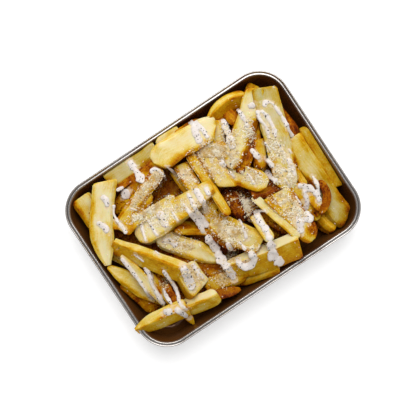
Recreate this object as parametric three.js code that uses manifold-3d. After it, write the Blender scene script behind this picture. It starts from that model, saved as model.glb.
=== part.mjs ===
import * as THREE from 'three';
import { mergeVertices } from 'three/addons/utils/BufferGeometryUtils.js';
import Module from 'manifold-3d';

const wasm = await Module();
wasm.setup();

// A steel serving tray heaped with potato wedges, under strands of white sauce and grated cheese.
// Millimetres. The tray's long side runs along X, Z is up, the origin is the middle of its underside.

// Tray: outer size over the rim, thickness, rolled rim, leaning wall, and the curve down to the floor
const trayLength = 230;
const trayWidth = 169;
const trayDepth = 30;
const cornerRadius = 29;
const cornerSteps = 7;
const sheet = 1;
const rimBand = 4.3;
const beadDrop = 4.2;
const wallLean = THREE.MathUtils.degToRad(14);
const floorFillet = 9;
const filletSteps = 4;
const floorHub = [30, 12];

// Heap: its core as [distance in from the tray's outline, height], and how deep the wedges press in
const gap = 0.3;
const heapCeiling = 100;
const coreProfile = [[20.5, 1.3], [27, 8], [44, 14], [62, 17]];
const pressIn = 3;
const pressFrom = 20;
const pressShare = 0.28;
const steepest = 0.42;
const cell = 1.5;
const sampleStep = 1.2;
const cornerCut = 0.32;
const roundingShare = 0.45;
const rimMargin = 10;

// Sauce strands, and the small lumps that stand for grated cheese
const strandStep = 11;
const strandSpread = 1.15;
const strandHeight = 0.5;
const strandSag = 0.7;
const strandOutline = [[1, -0.4], [0.65, 0.8], [-0.65, 0.8], [-1, -0.4]];
const relaxPasses = 12;
const lumpRadius = [2.2, 3.4];
const lumpShape = [1.1, 0.9, 0.6];
const lumpArea = 115;

const steel = new THREE.MeshStandardMaterial({ color: 0x9a948e, roughness: 0.3, metalness: 1 });
const potato = new THREE.MeshStandardMaterial({ color: 0xd9b45a, roughness: 0.55, metalness: 0 });

// Seeded draws, so that the heap is the same every time.
let seed = 2024;
const draw = (low, high) => {
  seed = (seed * 16807) % 2147483647;
  return low + (high - low) * seed / 2147483647;
};

// ---- closed skins ----

// Joins equal rings of points into one closed body. Each end is a fan, about a hub where one is given.
const skin = (rings, hub = null) => {
  const count = rings[0].length;
  const points = rings.flat();
  const index = [];
  for (let ring = 0; ring + 1 < rings.length; ring += 1) {
    for (let side = 0; side < count; side += 1) {
      const a = ring * count + side;
      const b = ring * count + (side + 1) % count;
      index.push(a, b, a + count, b, b + count, a + count);
    }
  }
  const cap = (start, turned) => {
    if (hub) points.push(new THREE.Vector3(hub[0], hub[1], points[start].z));
    const centre = hub ? points.length - 1 : start;
    for (let side = hub ? 0 : 1; side < (hub ? count : count - 1); side += 1) {
      const a = start + side;
      const b = start + (side + 1) % count;
      index.push(...(turned ? [b, a, centre] : [a, b, centre]));
    }
  };
  cap(0, true);
  cap((rings.length - 1) * count, false);
  const geometry = new THREE.BufferGeometry().setFromPoints(points);
  geometry.setIndex(index);
  return volumeOf(geometry) < 0 ? turnedInsideOut(geometry) : geometry;
};

const volumeOf = (geometry) => {
  const { position } = geometry.attributes;
  const corner = [new THREE.Vector3(), new THREE.Vector3(), new THREE.Vector3()];
  let volume = 0;
  for (let at = 0; at < geometry.index.count; at += 3) {
    corner.forEach((point, k) => point.fromBufferAttribute(position, geometry.index.getX(at + k)));
    volume += corner[0].dot(corner[1].cross(corner[2])) / 6;
  }
  return volume;
};

const turnedInsideOut = (geometry) => {
  const index = geometry.index.array;
  for (let at = 0; at < index.length; at += 3) {
    [index[at], index[at + 1]] = [index[at + 1], index[at]];
  }
  return geometry;
};

const solidOf = (geometry) => {
  const bare = geometry.clone();
  bare.deleteAttribute('normal');
  bare.deleteAttribute('uv');
  const merged = mergeVertices(bare);
  return new wasm.Manifold(new wasm.Mesh({
    numProp: 3,
    vertProperties: new Float32Array(merged.attributes.position.array),
    triVerts: new Uint32Array(merged.index.array),
  }));
};

const geometryOf = (solid) => {
  const mesh = solid.getMesh();
  const geometry = new THREE.BufferGeometry();
  geometry.setAttribute('position', new THREE.BufferAttribute(mesh.vertProperties, 3));
  geometry.setIndex(new THREE.BufferAttribute(mesh.triVerts, 1));
  geometry.computeVertexNormals();
  return geometry;
};

const named = (name, geometry, material) => {
  const mesh = new THREE.Mesh(geometry, material);
  mesh.name = name;
  return mesh;
};

// ---- tray ----

// The tray's outline at a level, moved inwards by an inset.
const outlineAt = (inset, z) => {
  const radius = Math.max(cornerRadius - inset, 1);
  const reachX = trayLength / 2 - inset - radius;
  const reachY = trayWidth / 2 - inset - radius;
  const ring = [];
  for (let corner = 0; corner < 4; corner += 1) {
    const sideX = corner === 0 || corner === 3 ? 1 : -1;
    const sideY = corner < 2 ? 1 : -1;
    for (let step = 0; step <= cornerSteps; step += 1) {
      const angle = (corner + step / cornerSteps) * Math.PI / 2;
      const x = sideX * reachX + radius * Math.cos(angle);
      const y = sideY * reachY + radius * Math.sin(angle);
      ring.push(new THREE.Vector3(x, y, z));
    }
  }
  return ring;
};

// The wall leans in from the rim, then a fillet turns it into the flat floor.
const filletMiddle = sheet + floorFillet;
const filletTopZ = filletMiddle - floorFillet * Math.sin(wallLean);
const filletTopInset = rimBand + (trayDepth - filletTopZ) * Math.tan(wallLean);
const filletInset = filletTopInset + floorFillet * Math.cos(wallLean);

const filletPoints = (radius) => {
  const points = [];
  for (let step = 0; step <= filletSteps; step += 1) {
    const turn = wallLean + (Math.PI / 2 - wallLean) * step / filletSteps;
    points.push([filletInset - radius * Math.cos(turn), filletMiddle - radius * Math.sin(turn)]);
  }
  return points;
};

// Height of the tray's inner face, rim included, at a distance in from the tray's outline.
const innerFace = (inset) => {
  if (inset < 0) return 0;
  if (inset < rimBand) return trayDepth;
  if (inset < filletTopInset) return trayDepth - (inset - rimBand) / Math.tan(wallLean);
  if (inset < filletInset) return filletMiddle - Math.sqrt(floorFillet ** 2 - (filletInset - inset) ** 2);
  return sheet;
};

const makeTray = () => {
  const wallOut = sheet / Math.cos(wallLean);
  const insetOfWall = (z) => rimBand + (trayDepth - z) * Math.tan(wallLean);
  const profile = [
    ...filletPoints(floorFillet).reverse(),
    [insetOfWall(trayDepth - 2.2), trayDepth - 2.2],
    [rimBand, trayDepth - 0.9],
    [rimBand - 0.7, trayDepth - 0.35],
    [rimBand - 1.5, trayDepth - 0.5],
    [rimBand - 2.1, trayDepth - 0.75],
    [1.5, trayDepth - 0.2],
    [0.9, trayDepth],
    [0.3, trayDepth - 0.5],
    [0, trayDepth - 1.5],
    [0, trayDepth - beadDrop + 1],
    [0.5, trayDepth - beadDrop],
    [1.5, trayDepth - beadDrop],
    [insetOfWall(trayDepth - beadDrop) - wallOut, trayDepth - beadDrop + 0.3],
    ...filletPoints(floorFillet + sheet),
  ];
  return named('tray', skin(profile.map(([inset, z]) => outlineAt(inset, z)), floorHub), steel);
};

// ---- heights that pieces come to rest on ----

const columns = Math.round(trayLength / cell) + 9;
const rows = Math.round(trayWidth / cell) + 9;
const heights = new Float32Array(columns * rows);

const cellAt = (x, y) => {
  const column = THREE.MathUtils.clamp(Math.round(x / cell + (columns - 1) / 2), 0, columns - 1);
  const row = THREE.MathUtils.clamp(Math.round(y / cell + (rows - 1) / 2), 0, rows - 1);
  return row * columns + column;
};

const insetAt = (x, y) => {
  const qx = Math.abs(x) - trayLength / 2 + cornerRadius;
  const qy = Math.abs(y) - trayWidth / 2 + cornerRadius;
  const out = Math.hypot(Math.max(qx, 0), Math.max(qy, 0)) + Math.min(Math.max(qx, qy), 0);
  return cornerRadius - out;
};

// Height of the heap's domed core at a distance in from the tray's outline.
const coreTop = (inset) => {
  const next = coreProfile.findIndex(([at]) => at > inset);
  if (next === 0) return 0;
  if (next < 0) return coreProfile.at(-1)[1];
  const [from, low] = coreProfile[next - 1];
  const [to, high] = coreProfile[next];
  return THREE.MathUtils.mapLinear(inset, from, to, low, high);
};

const clearHeights = () => {
  for (let row = 0; row < rows; row += 1) {
    for (let column = 0; column < columns; column += 1) {
      const inset = insetAt((column - (columns - 1) / 2) * cell, (row - (rows - 1) / 2) * cell);
      heights[row * columns + column] = Math.max(innerFace(inset), coreTop(inset));
    }
  }
};

// ---- wedges ----

// How the two ends narrow: over what share of the width or length, and down to what share of the size.
const endKinds = {
  cut: () => ({ reach: 3, least: 0.86, plain: true }),
  round: (piece) => ({ reach: 0.5 * piece.width + 1, least: 0.58 }),
  point: (piece) => ({ reach: 0.42 * piece.length, least: 0.26 }),
  slim: (piece) => ({ reach: 0.6 * piece.length, least: 0.6 }),
};

// A wedge lies between two plan points. Roll lifts its left side, bend bows it to the left,
// crown above 0 makes its top face the wide one, below 0 a ridge, lift holds it above its rest.
const wedge = (name, from, to, width, thick, roll = 0, ends = 'cut round', extra = {}) => {
  const [first, last] = ends.split(' ');
  const length = Math.hypot(to[0] - from[0], to[1] - from[1]);
  const turn = THREE.MathUtils.degToRad(roll);
  const piece = { name, from, to, width, thick, roll: turn, length, bend: 0, crown: 0.15, lift: 0, ...extra };
  piece.ends = [endKinds[first](piece), endKinds[last](piece)];
  return piece;
};

const sizeAt = (piece, t) => {
  const narrowing = ({ reach, least }, distance) => (
    least + (1 - least) * Math.sin(Math.PI / 2 * Math.min(1, distance / reach)));
  const share = narrowing(piece.ends[0], t * piece.length) * narrowing(piece.ends[1], (1 - t) * piece.length);
  return [piece.width / 2 * share, piece.thick / 2 * Math.sqrt(share)];
};

// Six corners of the section at t, as [to the left, up], turned by the roll.
const sectionAt = (piece, t) => {
  const [a, b] = sizeAt(piece, t);
  const cut = cornerCut * Math.min(a, b);
  const corners = [[a, -b], [a, b - cut], [a - cut, b], [cut - a, b], [-a, b - cut], [-a, -b]];
  const cosine = Math.cos(piece.roll);
  const sine = Math.sin(piece.roll);
  return corners.map(([u, v]) => {
    const wide = u * (1 + piece.crown * v / b);
    return [wide * cosine - v * sine, wide * sine + v * cosine];
  });
};

const spineAt = (piece, t) => {
  const alongX = (piece.to[0] - piece.from[0]) / piece.length;
  const alongY = (piece.to[1] - piece.from[1]) / piece.length;
  const side = piece.bend * 4 * t * (1 - t);
  const turn = Math.atan(piece.bend * 4 * (1 - 2 * t) / piece.length);
  return {
    x: piece.from[0] + alongX * piece.length * t - alongY * side,
    y: piece.from[1] + alongY * piece.length * t + alongX * side,
    leftX: -alongY * Math.cos(turn) - alongX * Math.sin(turn),
    leftY: alongX * Math.cos(turn) - alongY * Math.sin(turn),
  };
};

// Points all over the skin of a wedge, station by station.
const surfaceSamples = (piece) => {
  const stations = [];
  const steps = Math.ceil(piece.length / sampleStep);
  for (let step = 0; step <= steps; step += 1) {
    const t = step / steps;
    const spine = spineAt(piece, t);
    const corners = sectionAt(piece, t);
    const samples = [];
    corners.forEach(([u, v], k) => {
      const [nextU, nextV] = corners[(k + 1) % corners.length];
      const parts = Math.max(1, Math.ceil(Math.hypot(nextU - u, nextV - v) / sampleStep));
      for (let part = 0; part < parts; part += 1) {
        const across = u + (nextU - u) * part / parts;
        const up = v + (nextV - v) * part / parts;
        samples.push([spine.x + spine.leftX * across, spine.y + spine.leftY * across, up]);
      }
    });
    stations.push({ t, samples });
  }
  return stations;
};

// The line that a wedge comes to rest on: the two highest contacts that its middle lies between.
const settle = (piece) => {
  const stations = surfaceSamples(piece);
  const contacts = stations.map(({ t, samples }) => [
    t * piece.length,
    Math.max(...samples.map(([x, y, v]) => heights[cellAt(x, y)] - v)),
  ]);
  const middle = piece.length / 2;
  let best = { z: -Infinity, slope: 0 };
  for (const [s, z] of contacts.filter(([at]) => at <= middle)) {
    for (const [otherS, otherZ] of contacts.filter(([at]) => at > middle)) {
      const slope = (otherZ - z) / (otherS - s);
      const at = z + slope * (middle - s);
      if (at > best.z) best = { z: at, slope };
    }
  }
  const slope = THREE.MathUtils.clamp(best.slope, -steepest, steepest);
  piece.slope = slope;
  const rest = Math.max(...contacts.map(([s, z]) => Math.min(best.z, z - slope * (s - middle))));
  piece.middleZ = rest - pressIn - pressShare * Math.max(0, rest - pressFrom) + piece.lift;
  for (const { t, samples } of stations) {
    const level = levelAt(piece, t);
    for (const [x, y, v] of samples) {
      const at = cellAt(x, y);
      heights[at] = Math.max(heights[at], level + v);
    }
  }
};

const levelAt = (piece, t) => piece.middleZ + piece.slope * (t - 0.5) * piece.length;

// Stations along a wedge: both tips, the middle if it is bowed, and where the ends begin to narrow.
const stationsOf = (piece) => {
  const [first, last] = piece.ends.map(({ reach }) => reach / piece.length);
  const nearFirst = piece.ends[0].plain ? [0, first] : [0, first * roundingShare, first];
  const nearLast = piece.ends[1].plain ? [1 - last, 1] : [1 - last, 1 - last * roundingShare, 1];
  return [...nearFirst, ...(piece.bend ? [0.5] : []), ...nearLast];
};

const wedgeSolid = (piece) => solidOf(skin(stationsOf(piece).map((t) => {
  const spine = spineAt(piece, t);
  const level = levelAt(piece, t);
  return sectionAt(piece, t).map(([u, v]) => (
    new THREE.Vector3(spine.x + spine.leftX * u, spine.y + spine.leftY * u, level + v)));
})));

// Lowest first. Wedges further down the list lie on those before them.
const wedges = [
  wedge('deepOne', [-88, 30], [-40, 44], 15, 9, 0, 'cut cut'),
  wedge('deepThree', [-70, -8], [-72, -58], 15, 9, 0, 'cut cut'),
  wedge('deepFour', [-52, -8], [-22, -58], 16, 9, 0, 'cut cut'),
  wedge('deepFive', [-14, -30], [44, -46], 16, 9, 0, 'cut cut'),
  wedge('deepSix', [12, 8], [34, -40], 15, 9, 0, 'cut cut'),
  wedge('deepSeven', [36, 2], [84, -28], 16, 9, 0, 'cut cut'),
  wedge('deepNine', [40, 50], [90, 36], 16, 9, 0, 'cut cut'),
  wedge('backStub', [-92, 74], [-92, 37], 18, 12, 6),
  wedge('lowLeftChip', [-102, -10], [-93, -49], 13, 11),
  wedge('leftStub', [-99, 21], [-85, -5], 11, 18),
  wedge('smallTip', [-71, -54], [-72, -77], 7, 9, 0, 'cut point'),
  wedge('frontSlab', [-26, -65], [21, -74], 14, 10, -12, 'point cut'),
  wedge('frontPlank', [-44, -55], [-8, -64], 14, 11),
  wedge('brownFront', [-43, -65], [-19, -73], 9, 9, -10, 'cut point'),
  wedge('backBit', [-10, 75], [14, 74.5], 9, 14, 0, 'round cut'),
  wedge('brownBack', [8, 71], [38, 70], 11, 16, 0, 'cut point'),
  wedge('goldBack', [93, 71], [64, 51], 14, 12, 0, 'cut cut'),
  wedge('rightRail', [105, 17], [103.5, -45], 8, 14, -8, 'round cut'),
  wedge('brownRight', [95, 45], [97, 13], 13, 13),
  wedge('cornerEnd', [77, -40], [80, -76], 16, 13, -10, 'cut round', { crown: -0.2 }),
  wedge('brownPyramid', [1, 14], [-3, -13], 17, 20, 14, 'cut point'),
  wedge('brownCurl', [16, 4], [18, -24], 12, 15, 0, 'round point'),
  wedge('brownRafter', [35, -9], [69, -21], 12, 17, -12, 'cut cut', { lift: 2 }),
  wedge('splinter', [-12, 48], [-11, 20], 5, 18),
  wedge('brownPeg', [57, 67], [60, 50], 10, 12),
  wedge('goldPeg', [66, 26], [54, 4], 12, 18, 0, 'cut round'),
  wedge('paleStep', [46, 64], [31, 41], 15, 18, 8),
  wedge('mustardBlock', [-78, 31], [-52, 27], 15, 14, -10),
  wedge('orangeFry', [-79, -17], [-77, -51], 6, 12),
  wedge('brownFry', [-72, -33], [-73, -52], 6, 12),
  wedge('rightSlab', [91, 14], [92, -75], 20, 12, 3, 'cut round'),
  wedge('goldStub', [79, -11], [79, -29], 7, 11),
  wedge('sauceFry', [70, -21], [73, -60], 10, 12),
  wedge('backSlab', [-64, 70.5], [-13, 71], 17, 12, -10, 'cut cut'),
  wedge('crescent', [40, 65], [79, 65], 8, 15, -48, 'point round', { bend: 5 }),
  wedge('skinFry', [-75, 46], [-19, 60], 14, 11, -6, 'round cut'),
  wedge('shortStub', [-87, 43], [-71, 30], 9, 14),
  wedge('leftLeaf', [-106, 9], [-86, -47], 14, 9, 0, 'point point', { bend: 1.5 }),
  wedge('frontRidge', [-68, -61], [-38, -66], 10, 15, -45, 'cut round'),
  wedge('longRidge', [-20, -53], [46, -67.5], 12, 23, -54, 'slim cut', { bend: -1 }),
  wedge('brightSlab', [24, 29], [52, -8], 18, 12, 6, 'cut round'),
  wedge('cheesePlank', [21, 52], [22, 9], 16, 13, 0, 'cut cut'),
  wedge('middleLeaf', [-55, 6], [-20, -44], 18, 11, 5, 'round point', { bend: 2 }),
  wedge('thinRidge', [-38, 4], [-11, -17], 9, 11, 15, 'round cut', { crown: -0.4 }),
  wedge('crumbyWedge', [-8, -8], [17, -49], 23, 13, 4, 'round cut'),
  wedge('crumbyFry', [27, -24], [27, -51], 9, 13),
  wedge('sauceWedge', [57, -19], [58, -71], 19, 13, 4, 'cut round'),
  wedge('thinFry', [44, -18], [54, -56], 6, 12),
  wedge('skinCurl', [91, -31], [76, -55], 7, 10, 0, 'round round', { bend: 7, lift: 2 }),
  wedge('cheeseEnd', [-52, -26], [-52, -54], 21, 16, -33, 'cut cut', { lift: 2 }),
  wedge('cheeseTop', [-2, 49], [-3, 21], 13, 19),
  wedge('cornerSlab', [-65, 73], [-105, 10], 20, 12, 4, 'cut point', { bend: -4 }),
  wedge('bananaWedge', [-21, 64], [44, 62], 22, 14, -6, 'round round', { bend: -1 }),
  wedge('longSlab', [91, 66], [33, 21], 18, 13, 4, 'cut round'),
  wedge('flatSlab', [96, 64], [65.5, -22], 21, 11, 0, 'cut round'),
  wedge('centreWedge', [-70, 14], [10, 16.5], 20, 17, -18, 'round slim'),
  wedge('twoFaceFry', [-92, 23], [-53, -32], 9, 18, -50, 'slim cut'),
  wedge('paleStrip', [-90, 11], [-84, -48], 9, 10, 5, 'point point', { bend: 1.5 }),
  wedge('sauceCovered', [-75, 34], [-19, 55], 12, 11, 0, 'cut round'),
  wedge('topStick', [9, 51], [8.5, -12], 7.5, 8),
  wedge('leanFry', [36, -10], [48.5, -62], 7, 8),
  wedge('rimFry', [-117, -53], [-67, -60], 10, 16, -42, 'point cut', { bend: 1 }),
];

// ---- sauce strands ----

// Each strand: its width, then the plan points that it runs through.
const strands = [
  [6, [-75, 64], [-74, 58], [-76, 53]],
  [6, [-91, 47], [-89, 41], [-88, 34]],
  [4, [-71, 52], [-75, 45], [-76, 38], [-75, 31], [-75, 24]],
  [8, [-62, 53], [-58, 54], [-53, 55]],
  [7, [-38, 77], [-38, 70], [-38, 62], [-38, 53]],
  [4, [-28, 56], [-23, 57], [-20, 50], [-21, 44]],
  [7, [-41, 25], [-42, 9]],
  [5, [-11, 24], [-12, 12], [-13, 0], [-13, -11]],
  [6, [-3, 24], [-4, 13], [-6, 2]],
  [4, [-91, 9], [-90, -6], [-89.5, -21], [-90, -38]],
  [4.5, [-79, -9], [-79, -16], [-82, -26], [-83, -36], [-84, -47]],
  [4, [-66, -20], [-66, -30], [-67, -42], [-70, -54], [-68, -61]],
  [7, [-49, -26], [-51, -38], [-55, -49]],
  [6, [-43, -30], [-42, -47]],
  [6, [-87, -52], [-79, -54]],
  [6, [-76, -54], [-73, -60], [-72, -68]],
  [7, [-18, -17], [-18, -30], [-19, -43], [-18, -53], [-19, -63]],
  [6, [-6, -47], [-7, -55], [-1, -59], [6, -56], [6, -48]],
  [8, [24, -50], [24, -58], [21, -64], [24, -75]],
  [7, [31, -24], [27, -29], [27, -40], [26, -50]],
  [6, [29, 33], [29, 24], [30, 14], [30, 4]],
  [5, [58, 3], [58, -4], [60, -11]],
  [4.5, [86, 50], [90, 52], [94, 48], [95, 38], [94, 26], [93, 14]],
  [4.5, [82, 49], [84, 40], [83, 31], [80, 22]],
  [5, [67, 62], [66, 52], [65, 42]],
  [7, [75, 57], [81, 56]],
  [6, [51, 62], [49, 54], [47, 45], [44, 34]],
  [6, [26, 77], [26, 70], [24, 62], [23, 54]],
  [5, [27, 73], [31, 64], [31, 54]],
  [5, [57, 26], [59, 14]],
  [5, [64, 11], [64, 1]],
  [5, [79, 1], [77, -8], [76, -16]],
  [6, [73, -24], [79, -29], [83, -37], [82, -47]],
  [4, [89, -24], [88, -34], [84, -42]],
  [4.5, [77, -28], [73, -39], [67, -47]],
  [6, [60, -44], [56, -52], [52, -60]],
  [7, [66, -46], [65, -57]],
];

// A strand follows the heap's heights, and bridges the hollows with a little sag.
const strandSolid = ([width, ...points]) => {
  const path = new THREE.CatmullRomCurve3(points.map(([x, y]) => new THREE.Vector3(x, y, 0)));
  const steps = Math.max(2, Math.round(path.getLength() / strandStep));
  const spine = path.getSpacedPoints(steps);
  const ground = spine.map((point) => heights[cellAt(point.x, point.y)]);
  const level = [...ground];
  for (let pass = 0; pass < relaxPasses; pass += 1) {
    for (let k = 1; k < steps; k += 1) {
      level[k] = Math.max(level[k], (level[k - 1] + level[k + 1]) / 2 - strandSag);
    }
  }
  const rings = spine.map((point, k) => {
    const along = path.getTangentAt(k / steps);
    const atEnd = k === 0 || k === steps;
    const half = strandSpread * width / 2 * (atEnd ? 0.7 : 1);
    const tall = width * strandHeight * (atEnd ? 0.7 : 1);
    return strandOutline.map(([u, v]) => (
      new THREE.Vector3(point.x - along.y * half * u, point.y + along.x * half * u, level[k] + tall * v)));
  });
  return solidOf(skin(rings));
};

// ---- grated cheese ----

// Each patch: its middle, its half length and half width, and the turn of its long side.
const cheesePatches = [
  { at: [-42, 29], reach: [20, 4], turn: -4 },
  { at: [-38, 17], reach: [17, 6], turn: 0 },
  { at: [-38, 46], reach: [18, 4], turn: 20 },
  { at: [-3, 36], reach: [11, 6], turn: 90 },
  { at: [28, 40], reach: [14, 8], turn: -30 },
  { at: [15, 28], reach: [11, 5], turn: 95 },
  { at: [1, -20], reach: [13, 9], turn: -50 },
  { at: [27, -15], reach: [8, 4], turn: 80 },
  { at: [56, -32], reach: [12, 6], turn: 95 },
  { at: [68, -3], reach: [17, 8], turn: 70 },
  { at: [-28, -57], reach: [6, 5], turn: 0 },
  { at: [-46, -40], reach: [11, 8], turn: 90 },
  { at: [43, 4], reach: [12, 6], turn: -45 },
  { at: [-43, -8], reach: [12, 5], turn: -55 },
  { at: [61, 31], reach: [8, 6], turn: 40 },
];

// Small flat lumps, scattered evenly over each patch.
const cheeseSolids = () => cheesePatches.flatMap(({ at, reach, turn }) => {
  const lumps = Math.round(Math.PI * reach[0] * reach[1] / lumpArea);
  const angle = THREE.MathUtils.degToRad(turn);
  return Array.from({ length: lumps }, () => {
    const far = Math.sqrt(draw(0, 1));
    const round = draw(0, 2 * Math.PI);
    const along = reach[0] * far * Math.cos(round);
    const across = reach[1] * far * Math.sin(round);
    const x = at[0] + along * Math.cos(angle) - across * Math.sin(angle);
    const y = at[1] + along * Math.sin(angle) + across * Math.cos(angle);
    const lump = new THREE.OctahedronGeometry(draw(...lumpRadius), 0);
    lump.scale(...lumpShape);
    lump.rotateZ(draw(0, Math.PI));
    lump.translate(x, y, heights[cellAt(x, y)]);
    return solidOf(lump);
  });
});

// ---- heap ----

const coreSolid = () => solidOf(skin(coreProfile.map(([inset, z]) => outlineAt(inset, z))));

// The room that food can fill: inside the tray, and above its rim.
const roomSolid = () => {
  const inside = filletPoints(floorFillet - gap).reverse();
  const rings = inside.map(([inset, z]) => outlineAt(inset, z));
  rings.push(outlineAt(rimBand + gap, trayDepth + gap));
  rings.push(outlineAt(-rimMargin, trayDepth + gap));
  rings.push(outlineAt(-rimMargin, heapCeiling));
  return solidOf(skin(rings));
};

// Everything is fused into one body. A scrap that touches nothing is dropped, and a sealed hollow is filled.
const makeHeap = () => {
  clearHeights();
  wedges.forEach(settle);
  const solids = [coreSolid(), ...wedges.map(wedgeSolid), ...strands.map(strandSolid), ...cheeseSolids()];
  const joined = solids.reduce((whole, solid) => whole.add(solid)).intersect(roomSolid());
  const bodies = joined.decompose().sort((a, b) => b.volume() - a.volume());
  return named('wedge_heap', geometryOf(bodies[0]), potato);
};

const model = new THREE.Group();
model.add(makeTray(), makeHeap());

export default model;
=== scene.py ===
import math

import bpy
import numpy as np
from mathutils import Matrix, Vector
from mathutils.bvhtree import BVHTree


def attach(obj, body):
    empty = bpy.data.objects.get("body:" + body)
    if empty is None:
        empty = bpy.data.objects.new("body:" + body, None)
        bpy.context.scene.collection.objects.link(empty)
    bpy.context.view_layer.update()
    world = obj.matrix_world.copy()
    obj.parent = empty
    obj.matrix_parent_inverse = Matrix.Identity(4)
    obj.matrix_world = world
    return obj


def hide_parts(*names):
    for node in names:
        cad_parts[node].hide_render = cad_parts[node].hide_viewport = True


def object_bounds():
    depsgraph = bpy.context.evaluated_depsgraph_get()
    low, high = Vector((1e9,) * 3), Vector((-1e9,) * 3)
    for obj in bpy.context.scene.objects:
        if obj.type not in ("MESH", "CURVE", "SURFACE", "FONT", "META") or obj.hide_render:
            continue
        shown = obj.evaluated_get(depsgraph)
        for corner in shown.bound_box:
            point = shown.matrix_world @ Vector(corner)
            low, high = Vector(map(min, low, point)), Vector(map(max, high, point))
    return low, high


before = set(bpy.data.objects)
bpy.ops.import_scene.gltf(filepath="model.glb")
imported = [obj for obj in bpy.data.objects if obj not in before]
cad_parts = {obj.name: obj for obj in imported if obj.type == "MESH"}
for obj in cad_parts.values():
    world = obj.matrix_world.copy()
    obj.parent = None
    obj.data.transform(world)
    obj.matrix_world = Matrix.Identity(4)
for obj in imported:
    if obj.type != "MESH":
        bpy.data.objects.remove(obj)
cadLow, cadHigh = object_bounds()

# A steel serving tray heaped with potato wedges, under strands of white sauce and grated cheese.
# Everything below is in millimetres until a mesh is made, with the tray's long side along X.

mm = 0.001
sceneNow = bpy.context.scene
print("frame loaded, box", [round(v / mm, 1) for v in (*cadLow, *cadHigh)])


# small helpers

def latticeNoise(points, size, seed):
    # smooth noise from -1 to 1, with bumps about size across
    spots = np.asarray(points, float) / size + seed * 17.31
    cell = np.floor(spots).astype(np.int64)
    part = spots - cell
    part = part * part * (3 - 2 * part)
    total = np.zeros(len(spots))
    for corner in range(8):
        step = np.array([corner & 1, corner >> 1 & 1, corner >> 2 & 1])
        mixed = (cell + step) * (73856093, 19349663, 83492791)
        number = mixed[:, 0] ^ mixed[:, 1] ^ mixed[:, 2] ^ seed * 2654435
        number = (number ^ (number >> 13)) * 1274126177 & 0x7fffffff
        number = (number ^ (number >> 15)) * 668265263 & 0x7fffffff
        total += np.prod(np.where(step, part, 1 - part), axis=1) * number / 0x7fffffff
    return total * 2 - 1


def layeredNoise(points, size, seed, layers=2):
    total = sum(latticeNoise(points, size / 2 ** k, seed + k) / 2 ** k for k in range(layers))
    return total / sum(1 / 2 ** k for k in range(layers))


def smoothStep(low, high, value):
    share = np.clip((value - low) / (high - low), 0, 1)
    return share * share * (3 - 2 * share)


def turned(u, v, angle):
    return u * np.cos(angle) - v * np.sin(angle), u * np.sin(angle) + v * np.cos(angle)


def makeMesh(name, points, faces, material, attributes=None, smooth=True):
    mesh = bpy.data.meshes.new(name)
    mesh.from_pydata((np.asarray(points, np.float32) * mm).tolist(), [], faces)
    mesh.validate()
    if smooth:
        mesh.shade_smooth()
        mesh.set_sharp_from_angle(angle=math.radians(42))
    else:
        mesh.shade_flat()
    for key, values in (attributes or {}).items():
        layer = mesh.attributes.new(key, "FLOAT", "POINT")
        layer.data.foreach_set("value", np.asarray(values, np.float32))
    mesh.materials.append(material)
    return addObject(name, mesh)


def addObject(name, content):
    piece = bpy.data.objects.new(name, content)
    sceneNow.collection.objects.link(piece)
    return piece


def place(piece, node):
    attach(piece, "root")
    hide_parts(node)


def placeFood(name, *mesh, **settings):
    place(makeMesh(name, *mesh, **settings), "wedge_heap")


def ringFaces(rings, count):
    # quads between rings of equal size, closed round
    ring, side = np.meshgrid(np.arange(rings - 1), np.arange(count), indexing="ij")
    a, b = ring * count + side, ring * count + (side + 1) % count
    return np.stack([a, b, b + count, a + count], axis=-1).reshape(-1, 4).tolist()


def tubeFaces(rings, count):
    # the same with a flat face at each end
    first, last = list(range(count)), list(range((rings - 1) * count, rings * count))
    return ringFaces(rings, count) + [first[::-1], last]


# shared shader effects

def setSockets(tree, node, values):
    # each value is a constant, or another node's output to link
    for key, value in values.items():
        if isinstance(value, bpy.types.NodeSocket):
            tree.links.new(value, node.inputs[key])
        else:
            node.inputs[key].default_value = value


def addNode(tree, kind, sockets=None, **settings):
    node = tree.nodes.new("ShaderNode" + kind)
    for key, value in settings.items():
        setattr(node, key, value)
    setSockets(tree, node, sockets or {})
    return node


def mathNode(tree, operation, *values, clamp=False):
    return addNode(tree, "Math", dict(enumerate(values)), operation=operation, use_clamp=clamp).outputs[0]


def times(tree, first, second, clamp=False):
    return mathNode(tree, "MULTIPLY", first, second, clamp=clamp)


def scaled(tree, value, factor, offset, clamp=False):
    return mathNode(tree, "MULTIPLY_ADD", value, factor, offset, clamp=clamp)


def mixColours(tree, share, first, second, blend="MIX"):
    sockets = {0: share, 6: first, 7: second}
    return addNode(tree, "Mix", sockets, data_type="RGBA", blend_type=blend).outputs[2]


def noiseMask(tree, where, size, detail, roughness=0.5, unit=1 / mm):
    scale = mathNode(tree, "DIVIDE", unit, size)
    sockets = {"Vector": where, "Scale": scale, "Detail": detail, "Roughness": roughness}
    return addNode(tree, "TexNoise", sockets).outputs["Fac"]


def objectPlace(tree):
    return addNode(tree, "TexCoord").outputs["Object"]


def readAttribute(tree, name):
    return addNode(tree, "Attribute", attribute_name=name).outputs["Fac"]


def newGroup(name, inputs, output, kind="NodeSocketFloat"):
    group = bpy.data.node_groups.new(name, "ShaderNodeTree")
    for label, value in inputs.items():
        socket = group.interface.new_socket(label, in_out="INPUT", socket_type="NodeSocketFloat")
        socket.default_value = value
    group.interface.new_socket(output, in_out="OUTPUT", socket_type=kind)
    return group, group.nodes.new("NodeGroupInput").outputs, group.nodes.new("NodeGroupOutput")


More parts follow.
